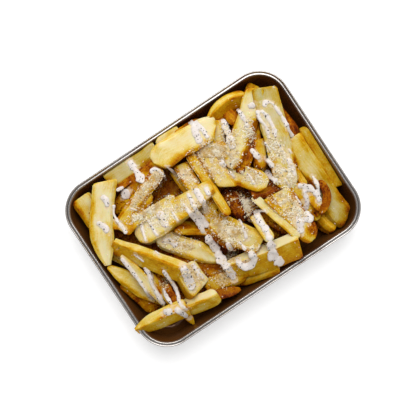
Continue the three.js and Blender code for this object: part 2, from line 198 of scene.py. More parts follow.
def grainGroup():
    # streaks along a cut face, from how far along and around it each point lies
    group, into, out = newGroup("grain", {"Along": 0.0, "Around": 0.0, "Size": 0.8}, "Mask")
    along = times(group, into["Along"], 0.13)
    where = addNode(group, "CombineXYZ", {0: along, 1: into["Around"]}).outputs[0]
    setSockets(group, out, {"Mask": noiseMask(group, where, into["Size"], 3.0, 0.6, unit=1.0)})
    return group


def mottleGroup():
    # uneven patches at two sizes, and their mask
    group, into, out = newGroup("mottle", {"Patch": 6.0, "Grain": 0.9, "Share": 0.5}, "Mask")
    where = objectPlace(group)
    coarse = noiseMask(group, where, into["Patch"], 3.0, 0.6)
    fine = times(group, noiseMask(group, where, into["Grain"], 2.0, 0.6), into["Share"])
    rest = mathNode(group, "SUBTRACT", 1.0, into["Share"])
    setSockets(group, out, {"Mask": scaled(group, coarse, rest, fine)})
    return group


def reliefGroup():
    # a bump normal from coarse blisters and fine grain, depths in millimetres
    sizes = {"Coarse": 2.0, "Fine": 0.5, "CoarseDepth": 0.2, "FineDepth": 0.06}
    group, into, out = newGroup("relief", sizes, "Normal", "NodeSocketVector")
    where = objectPlace(group)
    bumps = [times(group, noiseMask(group, where, into[label], 3.0), into[label + "Depth"])
             for label in ("Coarse", "Fine")]
    height = mathNode(group, "ADD", *bumps)
    bump = addNode(group, "Bump", {"Strength": 1.0, "Distance": mm, "Height": height})
    setSockets(group, out, {"Normal": bump.outputs["Normal"]})
    return group


mottle = mottleGroup()
relief = reliefGroup()
grain = grainGroup()


def useGroup(tree, group, **values):
    return addNode(tree, "Group", values, node_tree=group).outputs[0]


def mottled(tree, patch, grain, share):
    return useGroup(tree, mottle, Patch=patch, Grain=grain, Share=share)


def bumpy(tree, coarse, fine, coarseDepth, fineDepth):
    return useGroup(tree, relief, Coarse=coarse, Fine=fine, CoarseDepth=coarseDepth, FineDepth=fineDepth)


def newMaterial(name):
    material = bpy.data.materials.new(name)
    material.use_nodes = True
    return material, material.node_tree, material.node_tree.nodes["Principled BSDF"]


def fromScreen(*channels):
    # a colour as a screen shows it, turned into light
    return (*((c / 255 / 12.92) if c <= 10 else ((c / 255 + 0.055) / 1.055) ** 2.4 for c in channels), 1)


# steel tray

trayShape = {
    "length": 230, "width": 169, "depth": 30, "corner": 29, "cornerSteps": 22, "sideSteps": 14,
    "sheet": 1.0, "rimBand": 4.3, "lipDrop": 1.5, "lean": math.radians(14), "fillet": 9.0, "filletSteps": 9,
    "wallDrops": (18, 12, 7, 3.5, 2.4), "beadDrop": 4.2, "beadTurn": 0.3,
}
# rings over the rolled rim, outwards: inset, drop below the rim's top, how much of the inside's painted
# reflection it takes and how much of the painted dark reflection line in its groove
rimRings = [
    (4.25, 0.85, 0.35, 0), (3.95, 0.5, 0.1, 0), (3.6, 0.35, 0, 0), (3.2, 0.38, 0, 0), (2.8, 0.5, 0, 0),
    (2.5, 0.68, 0, 0.55), (2.2, 0.75, 0, 1), (1.9, 0.66, 0, 0.5), (1.6, 0.28, 0, 0), (1.25, 0.08, 0, 0),
    (0.9, 0, 0, 0), (0.6, 0.12, 0, 0), (0.32, 0.42, 0, 0), (0.1, 0.9, 0, 0), (0, 1.5, 0, 0), (0, 2.4, 0, 0),
    (0.05, 3.3, 0, 0), (0.2, 3.8, 0, 0), (0.5, 4.2, 0, 0), (1, 4.22, 0, 0), (1.6, 4.2, 0, 0),
]
# painted reflection: the inside's brown stands in for the food and the dark room mirrored in the steel
trayLooks = {
    "rim": fromScreen(205, 200, 196), "inside": fromScreen(118, 74, 32), "paintedGrooveReflection": fromScreen(58, 52, 48),
    "wear": fromScreen(92, 80, 70), "wearShare": 0.35, "roughness": 0.11, "wearRoughness": 0.22,
    "paintedReflectionShare": 0.7,
}


def trayOutline(inset, z):
    # a ring of points, drawn in from the tray's outer edge: rounded corners with straight sides between
    shape = trayShape
    radius = max(shape["corner"] - inset, 1)
    middle = np.array([shape["length"], shape["width"]]) / 2 - inset - radius
    arcs = []
    for corner, signs in enumerate([(1, 1), (-1, 1), (-1, -1), (1, -1)]):
        turns = (corner + np.arange(shape["cornerSteps"] + 1) / shape["cornerSteps"]) * math.pi / 2
        arcs.append(middle * signs + radius * np.column_stack([np.cos(turns), np.sin(turns)]))
    flat = []
    for arc, after in zip(arcs, arcs[1:] + arcs[:1]):
        flat += [arc, np.linspace(arc[-1], after[0], shape["sideSteps"], endpoint=False)[1:]]
    flat = np.concatenate(flat)
    return np.column_stack([flat, np.full(len(flat), z)])


def wallInset(drop):
    return trayShape["rimBand"] + drop * math.tan(trayShape["lean"])


filletMiddle = trayShape["sheet"] + trayShape["fillet"]
filletTopZ = filletMiddle - trayShape["fillet"] * math.sin(trayShape["lean"])
filletTopInset = wallInset(trayShape["depth"] - filletTopZ)
filletInset = filletTopInset + trayShape["fillet"] * math.cos(trayShape["lean"])


def filletPoints(radius):
    turns = np.linspace(trayShape["lean"], math.pi / 2, trayShape["filletSteps"] + 1)
    return [(filletInset - radius * math.cos(a), filletMiddle - radius * math.sin(a)) for a in turns]


def fromEdge(points):
    # how far in from the tray's outer edge each point lies, and which way its nearest edge is
    corner = trayShape["corner"]
    reach = np.abs(points[:, :2]) - (trayShape["length"] / 2 - corner, trayShape["width"] / 2 - corner)
    beyond = np.maximum(reach, 0)
    out = np.linalg.norm(beyond, axis=1)
    most = reach.max(axis=1, keepdims=True)
    way = np.where(out[:, None] > 0, beyond / (out + 1e-9)[:, None], reach == most)
    return corner - out - np.minimum(most[:, 0], 0), way * np.sign(points[:, :2])


def innerFace(inset):
    # how high the tray's inner face lies, so far in from its outer edge
    shape = trayShape
    wall = shape["depth"] - (inset - shape["rimBand"]) / math.tan(shape["lean"])
    bend = filletMiddle - np.sqrt(np.maximum(0, shape["fillet"] ** 2 - (filletInset - inset) ** 2))
    borders = [inset < border for border in (0, shape["rimBand"], filletTopInset, filletInset)]
    return np.select(borders, [0, shape["depth"], wall, bend], shape["sheet"])


def steelMaterial():
    material, tree, shader = newMaterial("steel")
    inside = readAttribute(tree, "inside")
    wear = mottled(tree, 22.0, 2.2, 0.35)
    # painted reflection: the inside is brown and partly matte, in place of steel mirroring the food
    colour = mixColours(tree, inside, trayLooks["rim"], trayLooks["inside"])
    # painted reflection: a dark line along the groove of the rim
    colour = mixColours(tree, readAttribute(tree, "paintedGrooveReflection"), colour, trayLooks["paintedGrooveReflection"])
    worn = times(tree, wear, trayLooks["wearShare"])
    setSockets(tree, shader, {
        "Base Color": mixColours(tree, worn, colour, trayLooks["wear"], "MULTIPLY"),
        "Metallic": scaled(tree, inside, -trayLooks["paintedReflectionShare"], 1.0),
        "Roughness": scaled(tree, wear, trayLooks["wearRoughness"], trayLooks["roughness"]),
        "Normal": bumpy(tree, 30.0, 6.0, 0.3, 0.01),
    })
    return material


def makeTray():
    shape, depth = trayShape, trayShape["depth"]
    wallOut = shape["sheet"] / math.cos(shape["lean"])
    profile = [(*at, 1, 0) for at in filletPoints(shape["fillet"])[::-1]]
    profile += [(wallInset(drop), depth - drop, 1, 0) for drop in shape["wallDrops"]]
    profile += [(wallInset(shape["lipDrop"]), depth - shape["lipDrop"], 0.75, 0)]
    profile += [(inset, depth - drop, *masks) for inset, drop, *masks in rimRings]
    profile += [(wallInset(shape["beadDrop"]) - wallOut, depth - shape["beadDrop"] + shape["beadTurn"], 0, 0)]
    profile += [(*at, 0, 0) for at in filletPoints(shape["fillet"] + shape["sheet"])]
    rings = [trayOutline(inset, z) for inset, z, _, _ in profile]
    count = len(rings[0])
    points = np.vstack([*rings, (0, 0, rings[0][0][2]), (0, 0, rings[-1][0][2])])
    top, base, lastRing = len(points) - 2, len(points) - 1, (len(rings) - 1) * count
    faces = [face[::-1] for face in ringFaces(len(rings), count)]
    faces += [(top, side, (side + 1) % count) for side in range(count)]
    faces += [(base, lastRing + (side + 1) % count, lastRing + side) for side in range(count)]
    # these masks place the painted reflections: the brown inside and the dark line in the rim's groove
    masks = {
        "inside": np.append(np.repeat([ring[2] for ring in profile], count), (1, 0)),
        "paintedGrooveReflection": np.append(np.repeat([ring[3] for ring in profile], count), (0, 0)),
    }
    place(makeMesh("trayShell", points, faces, steelMaterial(), masks), "tray")
    print("tray", len(faces), "faces")


makeTray()


# heap: where each wedge comes to rest

heapRule = {
    "cell": 1.5, "margin": 9, "sample": 1.2, "pressIn": 3, "pressFrom": 20, "pressShare": 0.28,
    "steepest": 0.42, "cornerCut": 0.32, "core": [(20.5, 1.3), (27, 8), (44, 14), (62, 17)],
}
gridColumns, gridRows = (
    math.floor(trayShape[key] / heapRule["cell"] + 0.5) + heapRule["margin"] for key in ("length", "width"))


def clearHeights():
    # the tray's inner face and the core, cell by cell
    rows, columns = np.divmod(np.arange(gridRows * gridColumns), gridColumns)
    cells = np.column_stack([columns - (gridColumns - 1) / 2, rows - (gridRows - 1) / 2]) * heapRule["cell"]
    inset, _ = fromEdge(cells)
    insets, tops = zip(*heapRule["core"])
    core = np.where(inset < insets[0], 0, np.interp(inset, insets, tops))
    return np.maximum(innerFace(inset), core).astype(np.float32)


heights = clearHeights()


def cellAt(x, y):
    column, row = (
        min(max(math.floor(along / heapRule["cell"] + (cells - 1) / 2 + 0.5), 0), cells - 1)
        for along, cells in ((x, gridColumns), (y, gridRows)))
    return row * gridColumns + column


def endKind(kind, width, length):
    # how far from its tip an end starts to narrow, and the share of the width left there
    return {
        "cut": (3, 0.86), "round": (0.5 * width + 1, 0.58), "point": (0.42 * length, 0.26),
        "slim": (0.6 * length, 0.6),
    }[kind]


def wedge(name, start, end, width, thick, top, side, roll=0, ends="cut round", bend=0, crown=0.15, lift=0,
          slants=None, paintedShadeEnds=(0, 0), fry=(0, 0)):
    # top and side are how fried the upper face and the flanks are: 0 pale, 0.4 golden, 0.7 brown, 1 dark, the
    # flanks' tone partly painted warm shade;
    # slants turn the two end cuts, in degrees, the darkening towards the two ends is painted shade,
    # and fry browns the upper face towards its left and right edges
    length = math.hypot(end[0] - start[0], end[1] - start[1])
    return {
        "name": name, "start": start, "end": end, "width": width, "thick": thick, "roll": math.radians(roll),
        "length": length, "ends": [endKind(kind, width, length) for kind in ends.split()], "bend": bend,
        "crown": crown, "lift": lift, "top": top, "side": side, "slants": slants, "paintedShadeEnds": paintedShadeEnds, "fry": fry,
    }


def sizeAt(piece, t):
    share = 1
    for (reach, least), run in zip(piece["ends"], (t, 1 - t)):
        share *= least + (1 - least) * math.sin(math.pi / 2 * min(1, run * piece["length"] / reach))
    return piece["width"] / 2 * share, piece["thick"] / 2 * math.sqrt(share)


def flatSection(piece, t, cuts=None):
    # six corners before the roll, as (to the left, up); cuts are the two upper edges' bevels
    a, b = sizeAt(piece, t)
    left, right = (share * min(a, b) for share in cuts or [heapRule["cornerCut"]] * 2)
    corners = [(a, -b), (a, b - left), (a - left, b), (right - a, b), (-a, b - right), (-a, -b)]
    return [(u * (1 + piece["crown"] * v / b), v) for u, v in corners]


def spineAt(piece, t):
    # the middle line's place, and the unit step to its left
    (x0, y0), (x1, y1), length, bend = piece["start"], piece["end"], piece["length"], piece["bend"]
    alongX, alongY = (x1 - x0) / length, (y1 - y0) / length
    side = bend * 4 * t * (1 - t)
    turn = math.atan(bend * 4 * (1 - 2 * t) / length)
    return (
        x0 + alongX * length * t - alongY * side, y0 + alongY * length * t + alongX * side,
        -alongY * math.cos(turn) - alongX * math.sin(turn), alongX * math.cos(turn) - alongY * math.sin(turn),
    )


def surfaceSamples(piece):
    stations = []
    steps = math.ceil(piece["length"] / heapRule["sample"])
    for step in range(steps + 1):
        t = step / steps
        x, y, leftX, leftY = spineAt(piece, t)
        corners = [turned(u, v, piece["roll"]) for u, v in flatSection(piece, t)]
        samples = []
        for (u, v), (nextU, nextV) in zip(corners, corners[1:] + corners[:1]):
            parts = max(1, math.ceil(math.hypot(nextU - u, nextV - v) / heapRule["sample"]))
            for part in range(parts):
                across, up = u + (nextU - u) * part / parts, v + (nextV - v) * part / parts
                samples.append((cellAt(x + leftX * across, y + leftY * across), up))
        stations.append((t, samples))
    return stations


def levelAt(piece, t):
    return piece["middleZ"] + piece["slope"] * (t - 0.5) * piece["length"]


def settle(piece):
    # the wedge tips until it rests on one contact each side of its middle, then presses in a little
    stations = surfaceSamples(piece)
    length = piece["length"]
    contacts = [(t * length, max(float(heights[at]) - v for at, v in samples)) for t, samples in stations]
    middle = length / 2
    bestZ, bestSlope = -math.inf, 0
    for s, z in contacts:
        for otherS, otherZ in contacts:
            if s > middle or otherS <= middle:
                continue
            slope = (otherZ - z) / (otherS - s)
            level = z + slope * (middle - s)
            if level > bestZ:
                bestZ, bestSlope = level, slope
    slope = min(max(bestSlope, -heapRule["steepest"]), heapRule["steepest"])
    rest = max(min(bestZ, z - slope * (s - middle)) for s, z in contacts)
    pressed = heapRule["pressIn"] + heapRule["pressShare"] * max(0, rest - heapRule["pressFrom"])
    piece.update(slope=slope, middleZ=rest - pressed + piece["lift"])
    for t, samples in stations:
        level = levelAt(piece, t)
        for at, v in samples:
            heights[at] = max(heights[at], level + v)


# lowest first; wedges further down the list lie on those before them. The deep wedges' brown tones are partly
# frying and partly painted shade deep in the heap
wedges = [
    wedge("deepOne", (-88, 30), (-40, 44), 15, 9, 0.56, 0.85, ends="cut cut"),
    wedge("deepThree", (-70, -8), (-72, -58), 15, 9, 0.74, 0.85, ends="cut cut", paintedShadeEnds=(0.1, 0.1)),
    wedge("deepFour", (-52, -8), (-22, -58), 16, 9, 0.7, 0.85, ends="cut cut", paintedShadeEnds=(0.1, 0.1)),
    wedge("deepFive", (-14, -30), (44, -46), 16, 9, 0.76, 0.9, ends="cut cut", paintedShadeEnds=(0.1, 0.1)),
    wedge("deepSix", (12, 8), (34, -40), 15, 9, 0.78, 0.9, ends="cut cut", paintedShadeEnds=(0.1, 0.1)),
    wedge("deepSeven", (36, 2), (84, -28), 16, 9, 0.72, 0.85, ends="cut cut", paintedShadeEnds=(0.1, 0.1)),
    wedge("deepNine", (40, 50), (90, 36), 16, 9, 0.72, 0.85, ends="cut cut"),
    wedge("backStub", (-92, 74), (-92, 37), 18, 12, 0.18, 0.55, 6, fry=(0.1, 0.25)),
    wedge("lowLeftChip", (-102, -10), (-93, -49), 13, 11, 0.58, 0.7, paintedShadeEnds=(0.1, 0.2)),
    wedge("leftStub", (-99, 21), (-85, -5), 11, 18, 0.26, 0.36),
    wedge("smallTip", (-71, -54), (-72, -77), 7, 9, 0.5, 0.6, ends="cut point"),
    wedge("frontSlab", (-26, -65), (21, -74), 14, 10, 0.4, 0.58, -12, "point cut", paintedShadeEnds=(0.15, 0.2)),
    wedge("frontPlank", (-44, -55), (-8, -64), 14, 11, 0.4, 0.6, paintedShadeEnds=(0.2, 0.16)),
    wedge("brownFront", (-43, -65), (-19, -73), 9, 9, 0.7, 0.85, -10, "cut point", paintedShadeEnds=(0.15, 0.15)),
    wedge("backBit", (-10, 75), (14, 74.5), 9, 14, 0.25, 0.5, ends="round cut"),
    wedge("brownBack", (8, 71), (38, 70), 11, 16, 0.62, 0.75, ends="cut point"),
    wedge("goldBack", (93, 71), (64, 51), 14, 12, 0.5, 0.65, ends="cut cut"),
    wedge("rightRail", (105, 17), (103.5, -45), 8, 14, 0.42, 0.42, -8, "round cut", paintedShadeEnds=(0.2, 0.2)),
    wedge("brownRight", (95, 45), (97, 13), 13, 13, 0.76, 0.88),
    wedge("cornerEnd", (77, -40), (80, -76), 16, 13, 0.42, 0.58, -10, crown=-0.2),
    wedge("brownPyramid", (1, 14), (-3, -13), 17, 20, 0.5, 0.54, 14, "cut point"),
    wedge("brownCurl", (16, 4), (18, -24), 12, 15, 0.84, 0.9, ends="round point", paintedShadeEnds=(0.3, 0.1)),
    wedge("brownRafter", (35, -9), (69, -21), 12, 17, 0.76, 0.8, -12, "cut cut", lift=2),
    wedge("splinter", (-12, 48), (-11, 20), 5, 18, 0.38, 0.48),
    wedge("brownPeg", (57, 67), (60, 50), 10, 12, 0.56, 0.8),
    wedge("goldPeg", (66, 26), (54, 4), 12, 18, 0.4, 0.6),
    wedge("paleStep", (46, 64), (31, 41), 15, 18, 0.1, 0.36, 8, fry=(0.1, 0.3)),
    wedge("mustardBlock", (-78, 31), (-52, 27), 15, 14, 0.44, 0.55, -10),
    wedge("orangeFry", (-79, -17), (-77, -51), 6, 12, 0.42, 0.6),
    wedge("brownFry", (-72, -33), (-73, -52), 6, 12, 0.7, 0.8),
    wedge("rightSlab", (91, 14), (92, -75), 20, 12, 0.22, 0.4, 3, paintedShadeEnds=(0.02, 0.34), fry=(0.16, 0.1),
          slants=(0, -28)),
    wedge("goldStub", (79, -11), (79, -29), 7, 11, 0.4, 0.5),
    wedge("sauceFry", (70, -21), (73, -60), 10, 12, 0.4, 0.6),
    wedge("backSlab", (-64, 70.5), (-13, 71), 17, 12, 0.14, 0.5, -10, "cut cut", paintedShadeEnds=(0.34, 0.26),
          fry=(0, 0.2)),
    wedge("crescent", (40, 65), (79, 65), 8, 15, 0.3, 0.52, -48, "point round", bend=5, fry=(0.2, 0.1)),
    wedge("skinFry", (-75, 46), (-19, 60), 14, 11, 0.5, 0.7, -6, "round cut"),
    wedge("shortStub", (-87, 43), (-71, 30), 9, 14, 0.5, 0.85),
    wedge("leftLeaf", (-106, 9), (-86, -47), 14, 9, 0.18, 0.45, ends="point point", bend=1.5,
          fry=(0.12, 0.18)),
    wedge("frontRidge", (-68, -61), (-38, -66), 10, 15, 0.06, 0.36, -45, fry=(0, 0.15)),
    wedge("longRidge", (-20, -53), (46, -67.5), 12, 23, 0, 0.45, -54, "slim cut", bend=-1, slants=(0, 6)),
    wedge("brightSlab", (24, 29), (52, -8), 18, 12, 0.1, 0.48, 6, fry=(0.36, 0.24)),
    wedge("cheesePlank", (21, 52), (22, 9), 16, 13, 0.2, 0.45, ends="cut cut", fry=(0.2, 0.2),
          slants=(0, 32)),
    wedge("middleLeaf", (-55, 6), (-20, -44), 18, 11, 0.04, 0.45, 5, "round point", bend=2, fry=(0.06, 0.06)),
    wedge("thinRidge", (-38, 4), (-11, -17), 9, 11, 0.5, 0.6, 15, "round cut", crown=-0.4),
    wedge("crumbyWedge", (-8, -8), (17, -49), 23, 13, 0.16, 0.5, 4, "round cut", fry=(0.16, 0.28),
          paintedShadeEnds=(0.1, 0.1)),
    wedge("crumbyFry", (27, -24), (27, -51), 9, 13, 0.25, 0.5),
    wedge("sauceWedge", (57, -19), (58, -71), 19, 13, 0.2, 0.5, 4, fry=(0.32, 0.1)),
    wedge("thinFry", (44, -18), (54, -56), 6, 12, 0.42, 0.45),
    wedge("skinCurl", (91, -31), (76, -55), 7, 10, 0.78, 0.85, ends="round round", bend=7, lift=2),
    wedge("cheeseEnd", (-52, -26), (-52, -54), 21, 16, 0.1, 0.44, -33, "cut cut", lift=2),
    wedge("cheeseTop", (-2, 49), (-3, 21), 13, 19, 0.2, 0.45, fry=(0.15, 0.2)),
    wedge("cornerSlab", (-65, 73), (-105, 10), 20, 12, 0, 0.36, 4, "cut point", bend=-4, fry=(0.05, 0.22),
          slants=(-22, 0)),
    wedge("bananaWedge", (-21, 64), (44, 62), 22, 14, 0.1, 0.42, -6, "round round", bend=-1, fry=(0, 0.2),
          slants=(-8, 26)),
    wedge("longSlab", (91, 66), (33, 21), 18, 13, 0.05, 0.55, 4, fry=(0.42, 0), slants=(-14, 0)),
    wedge("flatSlab", (96, 64), (65.5, -22), 21, 11, 0.15, 0.45, paintedShadeEnds=(0.28, 0.04), fry=(0.06, 0.14),
          slants=(6, 10)),
    wedge("centreWedge", (-70, 14), (10, 16.5), 20, 17, 0.1, 0.28, -18, "round slim", fry=(0, 0.12),
          slants=(0, 8)),
    wedge("twoFaceFry", (-92, 23), (-53, -32), 9, 18, 0.28, 0.47, -50, "slim cut", fry=(0, 0.1)),
    wedge("paleStrip", (-90, 11), (-84, -48), 9, 10, 0.16, 0.42, 5, "point point", bend=1.5, fry=(0.1, 0.2)),
    wedge("sauceCovered", (-75, 34), (-19, 55), 12, 11, 0.34, 0.5, fry=(0.2, 0.2)),
    wedge("topStick", (9, 51), (8.5, -12), 7.5, 8, 0.42, 0.4, fry=(0.05, 0.2)),
    wedge("leanFry", (36, -10), (48.5, -62), 7, 8, 0.14, 0.4),
    wedge("rimFry", (-117, -53), (-67, -60), 10, 16, 0.3, 0.42, -42, "point cut", bend=1, fry=(0.05, 0.1)),
]
for piece in wedges:
    settle(piece)
print("settled", len(wedges), "wedges, top", round(float(heights.max()), 1))

# offcuts low down between the wedges, each at a level of its own
offcuts = [
    (32, wedge("underSauce", (-64, 37), (-38, 40), 11, 12, 0.34, 0.55, -8)),
    (34, wedge("cheeseLedge", (-62, 29), (-22, 28), 8, 12, 0.2, 0.5, 8, "round round")),
    (27, wedge("backCrust", (-60, 62), (-22, 62), 6, 10, 0.72, 0.8, ends="cut cut")),
    (31, wedge("crumbBed", (20, 50), (45, 33), 16, 12, 0.26, 0.5)),
    (29, wedge("goldUnder", (37, 13), (64, 31), 12, 12, 0.6, 0.66, -12, "cut cut")),
    (29, wedge("goldSide", (73, 47), (61, 21), 9, 11, 0.5, 0.6, ends="cut cut")),
    (20, wedge("curlBed", (20, 2), (31, -26), 12, 10, 0.82, 0.85, ends="cut cut")),
    (24, wedge("leanUnder", (34, -26), (47, -58), 9, 12, 0.64, 0.72, 10, "cut cut")),
    (27, wedge("leftCrumb", (-13, -13), (-3, -42), 9, 10, 0.6, 0.66, ends="cut point")),
    (25, wedge("cornerBed", (69, -22), (77, -56), 9, 11, 0.62, 0.7, ends="cut cut")),
    (34, wedge("mustardBed", (-77, 27), (-57, 31), 12, 12, 0.4, 0.5, -10, "cut cut")),
    (24, wedge("topBed", (40, 62), (70, 60), 10, 10, 0.66, 0.72, ends="cut cut")),
    (23, wedge("pyramidBed", (-22, -2), (6, -18), 12, 10, 0.6, 0.68, ends="cut cut")),
    (31, wedge("pegCap", (67, 29), (56, 6), 10, 11, 0.46, 0.6, 4)),
    (30, wedge("rafterBack", (46, -7), (66, -9), 8, 10, 0.7, 0.76, ends="cut cut")),
    (30, wedge("goldGap", (77, -30), (80, -54), 9, 10, 0.48, 0.6)),
    (22, wedge("leftBed", (-86, 2), (-74, -40), 8, 10, 0.72, 0.76, ends="cut cut")),
]
for middleZ, piece in offcuts:
    piece.update(middleZ=middleZ, slope=0)


# heap: how deep a point lies under the heap's rounded outline

def blurred(grid, passes):
    soft = grid.copy()
    for _ in range(passes):
        edge = np.pad(soft, 1, mode="edge")
        soft = (edge[:-2, 1:-1] + edge[2:, 1:-1] + edge[1:-1, :-2] + edge[1:-1, 2:] + 4 * soft) / 8
    return soft


softHeights = blurred(heights.reshape(gridRows, gridColumns), 40)


def lookUp(grid, x, y):
    column = np.clip(np.round(x / heapRule["cell"] + (gridColumns - 1) / 2).astype(int), 0, gridColumns - 1)
    row = np.clip(np.round(y / heapRule["cell"] + (gridRows - 1) / 2).astype(int), 0, gridRows - 1)
    return grid[row, column]


# potato

potatoLooks = {
    # the colours from pale to burnt, as a screen shows them, with where each stands on the scale of how fried
    "ramp": [
        (0, (236, 222, 175)), (0.14, (232, 212, 148)), (0.28, (223, 193, 90)), (0.42, (213, 165, 18)),
        (0.56, (193, 129, 4)), (0.7, (165, 89, 3)), (0.82, (122, 50, 3)), (0.92, (80, 26, 2)),
        (1, (44, 12, 2)),
    ],
    "mottling": 0.48, "streaks": 0.38, "freckles": 2.2, "cool": (0.94, 0.95, 0.76, 1), "cooling": 0.12,
    "film": fromScreen(233, 213, 180), "filmShare": 0.8, "dust": fromScreen(237, 215, 162),
    "dustShade": fromScreen(188, 146, 70), "dustShare": 0.75, "roughness": 0.28, "oil": 0.07,
}
# browned places, as middle, radius and strength
brownedPlaces = [
    ((-64, 72), 9, 0.5), ((-70, 66), 5, 0.25), ((-27, 64), 7, 0.5), ((-45, 62), 5, 0.45),
    ((-58, 63), 4, 0.35), ((72, 41), 6, 0.4), ((52, 22), 7, 0.55), ((60, 29), 5, 0.3), ((100, 64), 6, 0.4),
    ((86, 70), 6, 0.45), ((10, 51), 5, 0.3), ((25, 52), 6, 0.35), ((0, 52), 4, 0.25), ((43, 63), 4, 0.4),
    ((-35, 3), 5, 0.3), ((-20, -43), 6, 0.35), ((-28, 0), 4, 0.35), ((-13, -22), 6, 0.4), ((83, -5), 5, 0.6),
    ((74, -54), 6, 0.4), ((45, -13), 5, 0.45), ((38, 19), 5, 0.3), ((20, 50), 6, 0.3), ((62, -62), 7, 0.6),
    ((92, -72), 7, 0.3), ((-106, 12), 5, 0.3), ((-48, -30), 4, 0.3), ((-20, -20), 4, 0.3),
    ((95, 20), 6, 0.25), ((-86, 40), 5, 0.4), ((30, -36), 5, 0.3),
]


# each patch: its middle, its half length and half width, the turn of its long side, how thickly it lies
# and how shaded its crumbs are
cheesePatches = [
    ((-44, 29), (18, 4), -4, 1.1, 0.3), ((-42, 19), (15, 6), 0, 1.2, 0.15), ((-20, 17), (8, 5), 0, 0.5, 0.3),
    ((-45, 45), (14, 5), 18, 1, 0.5), ((-28, 50), (8, 5), 20, 0.9, 0.5), ((-3, 34), (10, 7), 90, 0.8, 0.45),
    ((22, 44), (10, 7), -20, 2, 0.55), ((36, 38), (11, 8), -45, 2, 0.55), ((20, 30), (9, 7), 95, 1.2, 0.4),
    ((38, 24), (9, 4), 40, 0.8, 0.3), ((-2, -20), (13, 8), -70, 2, 0.55), ((6, -27), (9, 6), -50, 1.2, 0.55),
    ((27, -15), (10, 5), 80, 2.4, 0.3), ((20, -2), (5, 4), 0, 1, 0.5), ((55, -28), (11, 8), 95, 1.9, 0.4),
    ((60, -44), (9, 7), 95, 1.2, 0.4), ((74, 10), (12, 6), 72, 1.1, 0.2), ((68, -10), (11, 8), 60, 1.5, 0.2),
    ((81, 34), (9, 3), 75, 0.5, 0.3), ((-26, -57), (9, 6), -10, 1.3, 0.8), ((-46, -40), (11, 8), 90, 1, 0.7),
    ((44, 6), (11, 6), -50, 1, 0.3), ((-44, -6), (11, 7), -55, 1.2, 0.45),
    ((-34, -14), (7, 5), -40, 0.8, 0.4), ((62, 34), (8, 4), 50, 0.7, 0.2), ((-8, 6), (8, 6), 0, 0.8, 0.5),
    ((-60, 32), (7, 3), 0, 0.7, 0.4), ((64, 44), (8, 5), 30, 0.7, 0.2), ((-10, -46), (9, 4), 0, 0.9, 0.5),
    ((48, 48), (8, 6), 60, 0.9, 0.4), ((12, -48), (8, 3), -15, 0.5, 0.2), ((-71, -30), (6, 5), 0, 0.5, 0.5),
]
# hollows and browned sides that stay nearly bare
barePatches = [
    ((51, -14), (14, 5), -12, 1), ((17, -15), (7, 9), 0, 0.9), ((50, 21), (9, 4), 30, 0.8),
    ((-31, -38), (9, 8), -50, 1), ((36, -44), (5, 8), 0, 1), ((22, 6), (7, 5), 0, 0.6),
    ((57, 58), (5, 5), 0, 0.6), ((-31, 0), (9, 4), -35, 0.7),
]
# thin sauce: the middle, the half sizes, the turn and the strength of each patch
saucePatches = [
    ((-3, 38), (11, 6), 90, 1), ((-46, 47), (16, 5), 18, 0.75), ((-24, 51), (6, 5), 20, 0.9),
    ((33, 26), (7, 6), 40, 0.9), ((45, 38), (9, 5), 45, 0.6), ((66, 52), (6, 8), 0, 0.7),
    ((-47, -2), (10, 7), -55, 0.9), ((-46, -39), (12, 9), 90, 1), ((56, -50), (10, 8), 95, 1),
    ((66, -38), (8, 8), 90, 0.7), ((-21, -58), (9, 6), -10, 0.8), ((-8, 14), (9, 9), 0, 0.8),
    ((-42, 16), (10, 8), 0, 0.6), ((-2, -55), (9, 4), -10, 0.9), ((82, 42), (8, 6), 80, 0.6),
    ((66, -4), (9, 8), 70, 0.8), ((-76, -56), (9, 3), 0, 0.9), ((25, 74), (5, 4), 0, 0.8),
    ((27, -28), (5, 8), 0, 0.8), ((-39, 70), (4, 7), 0, 0.8), ((79, -34), (8, 7), 0, 0.8),
    ((-57, 54), (7, 4), 0, 0.8), ((-91, 18), (4, 5), 0, 0.8), ((-66, -22), (5, 7), 0, 0.7),
    ((-81, -30), (5, 14), 8, 0.5),
]

# spread gives the width from the strand's own; sag is how strongly it hangs between what holds it up
sauceShape = {
    "step": 0.7, "spread": (0.58, 0.07), "rise": 0.24, "sag": 0.045, "hanging": 260, "voxel": 0.48,
    "sides": 14,
}
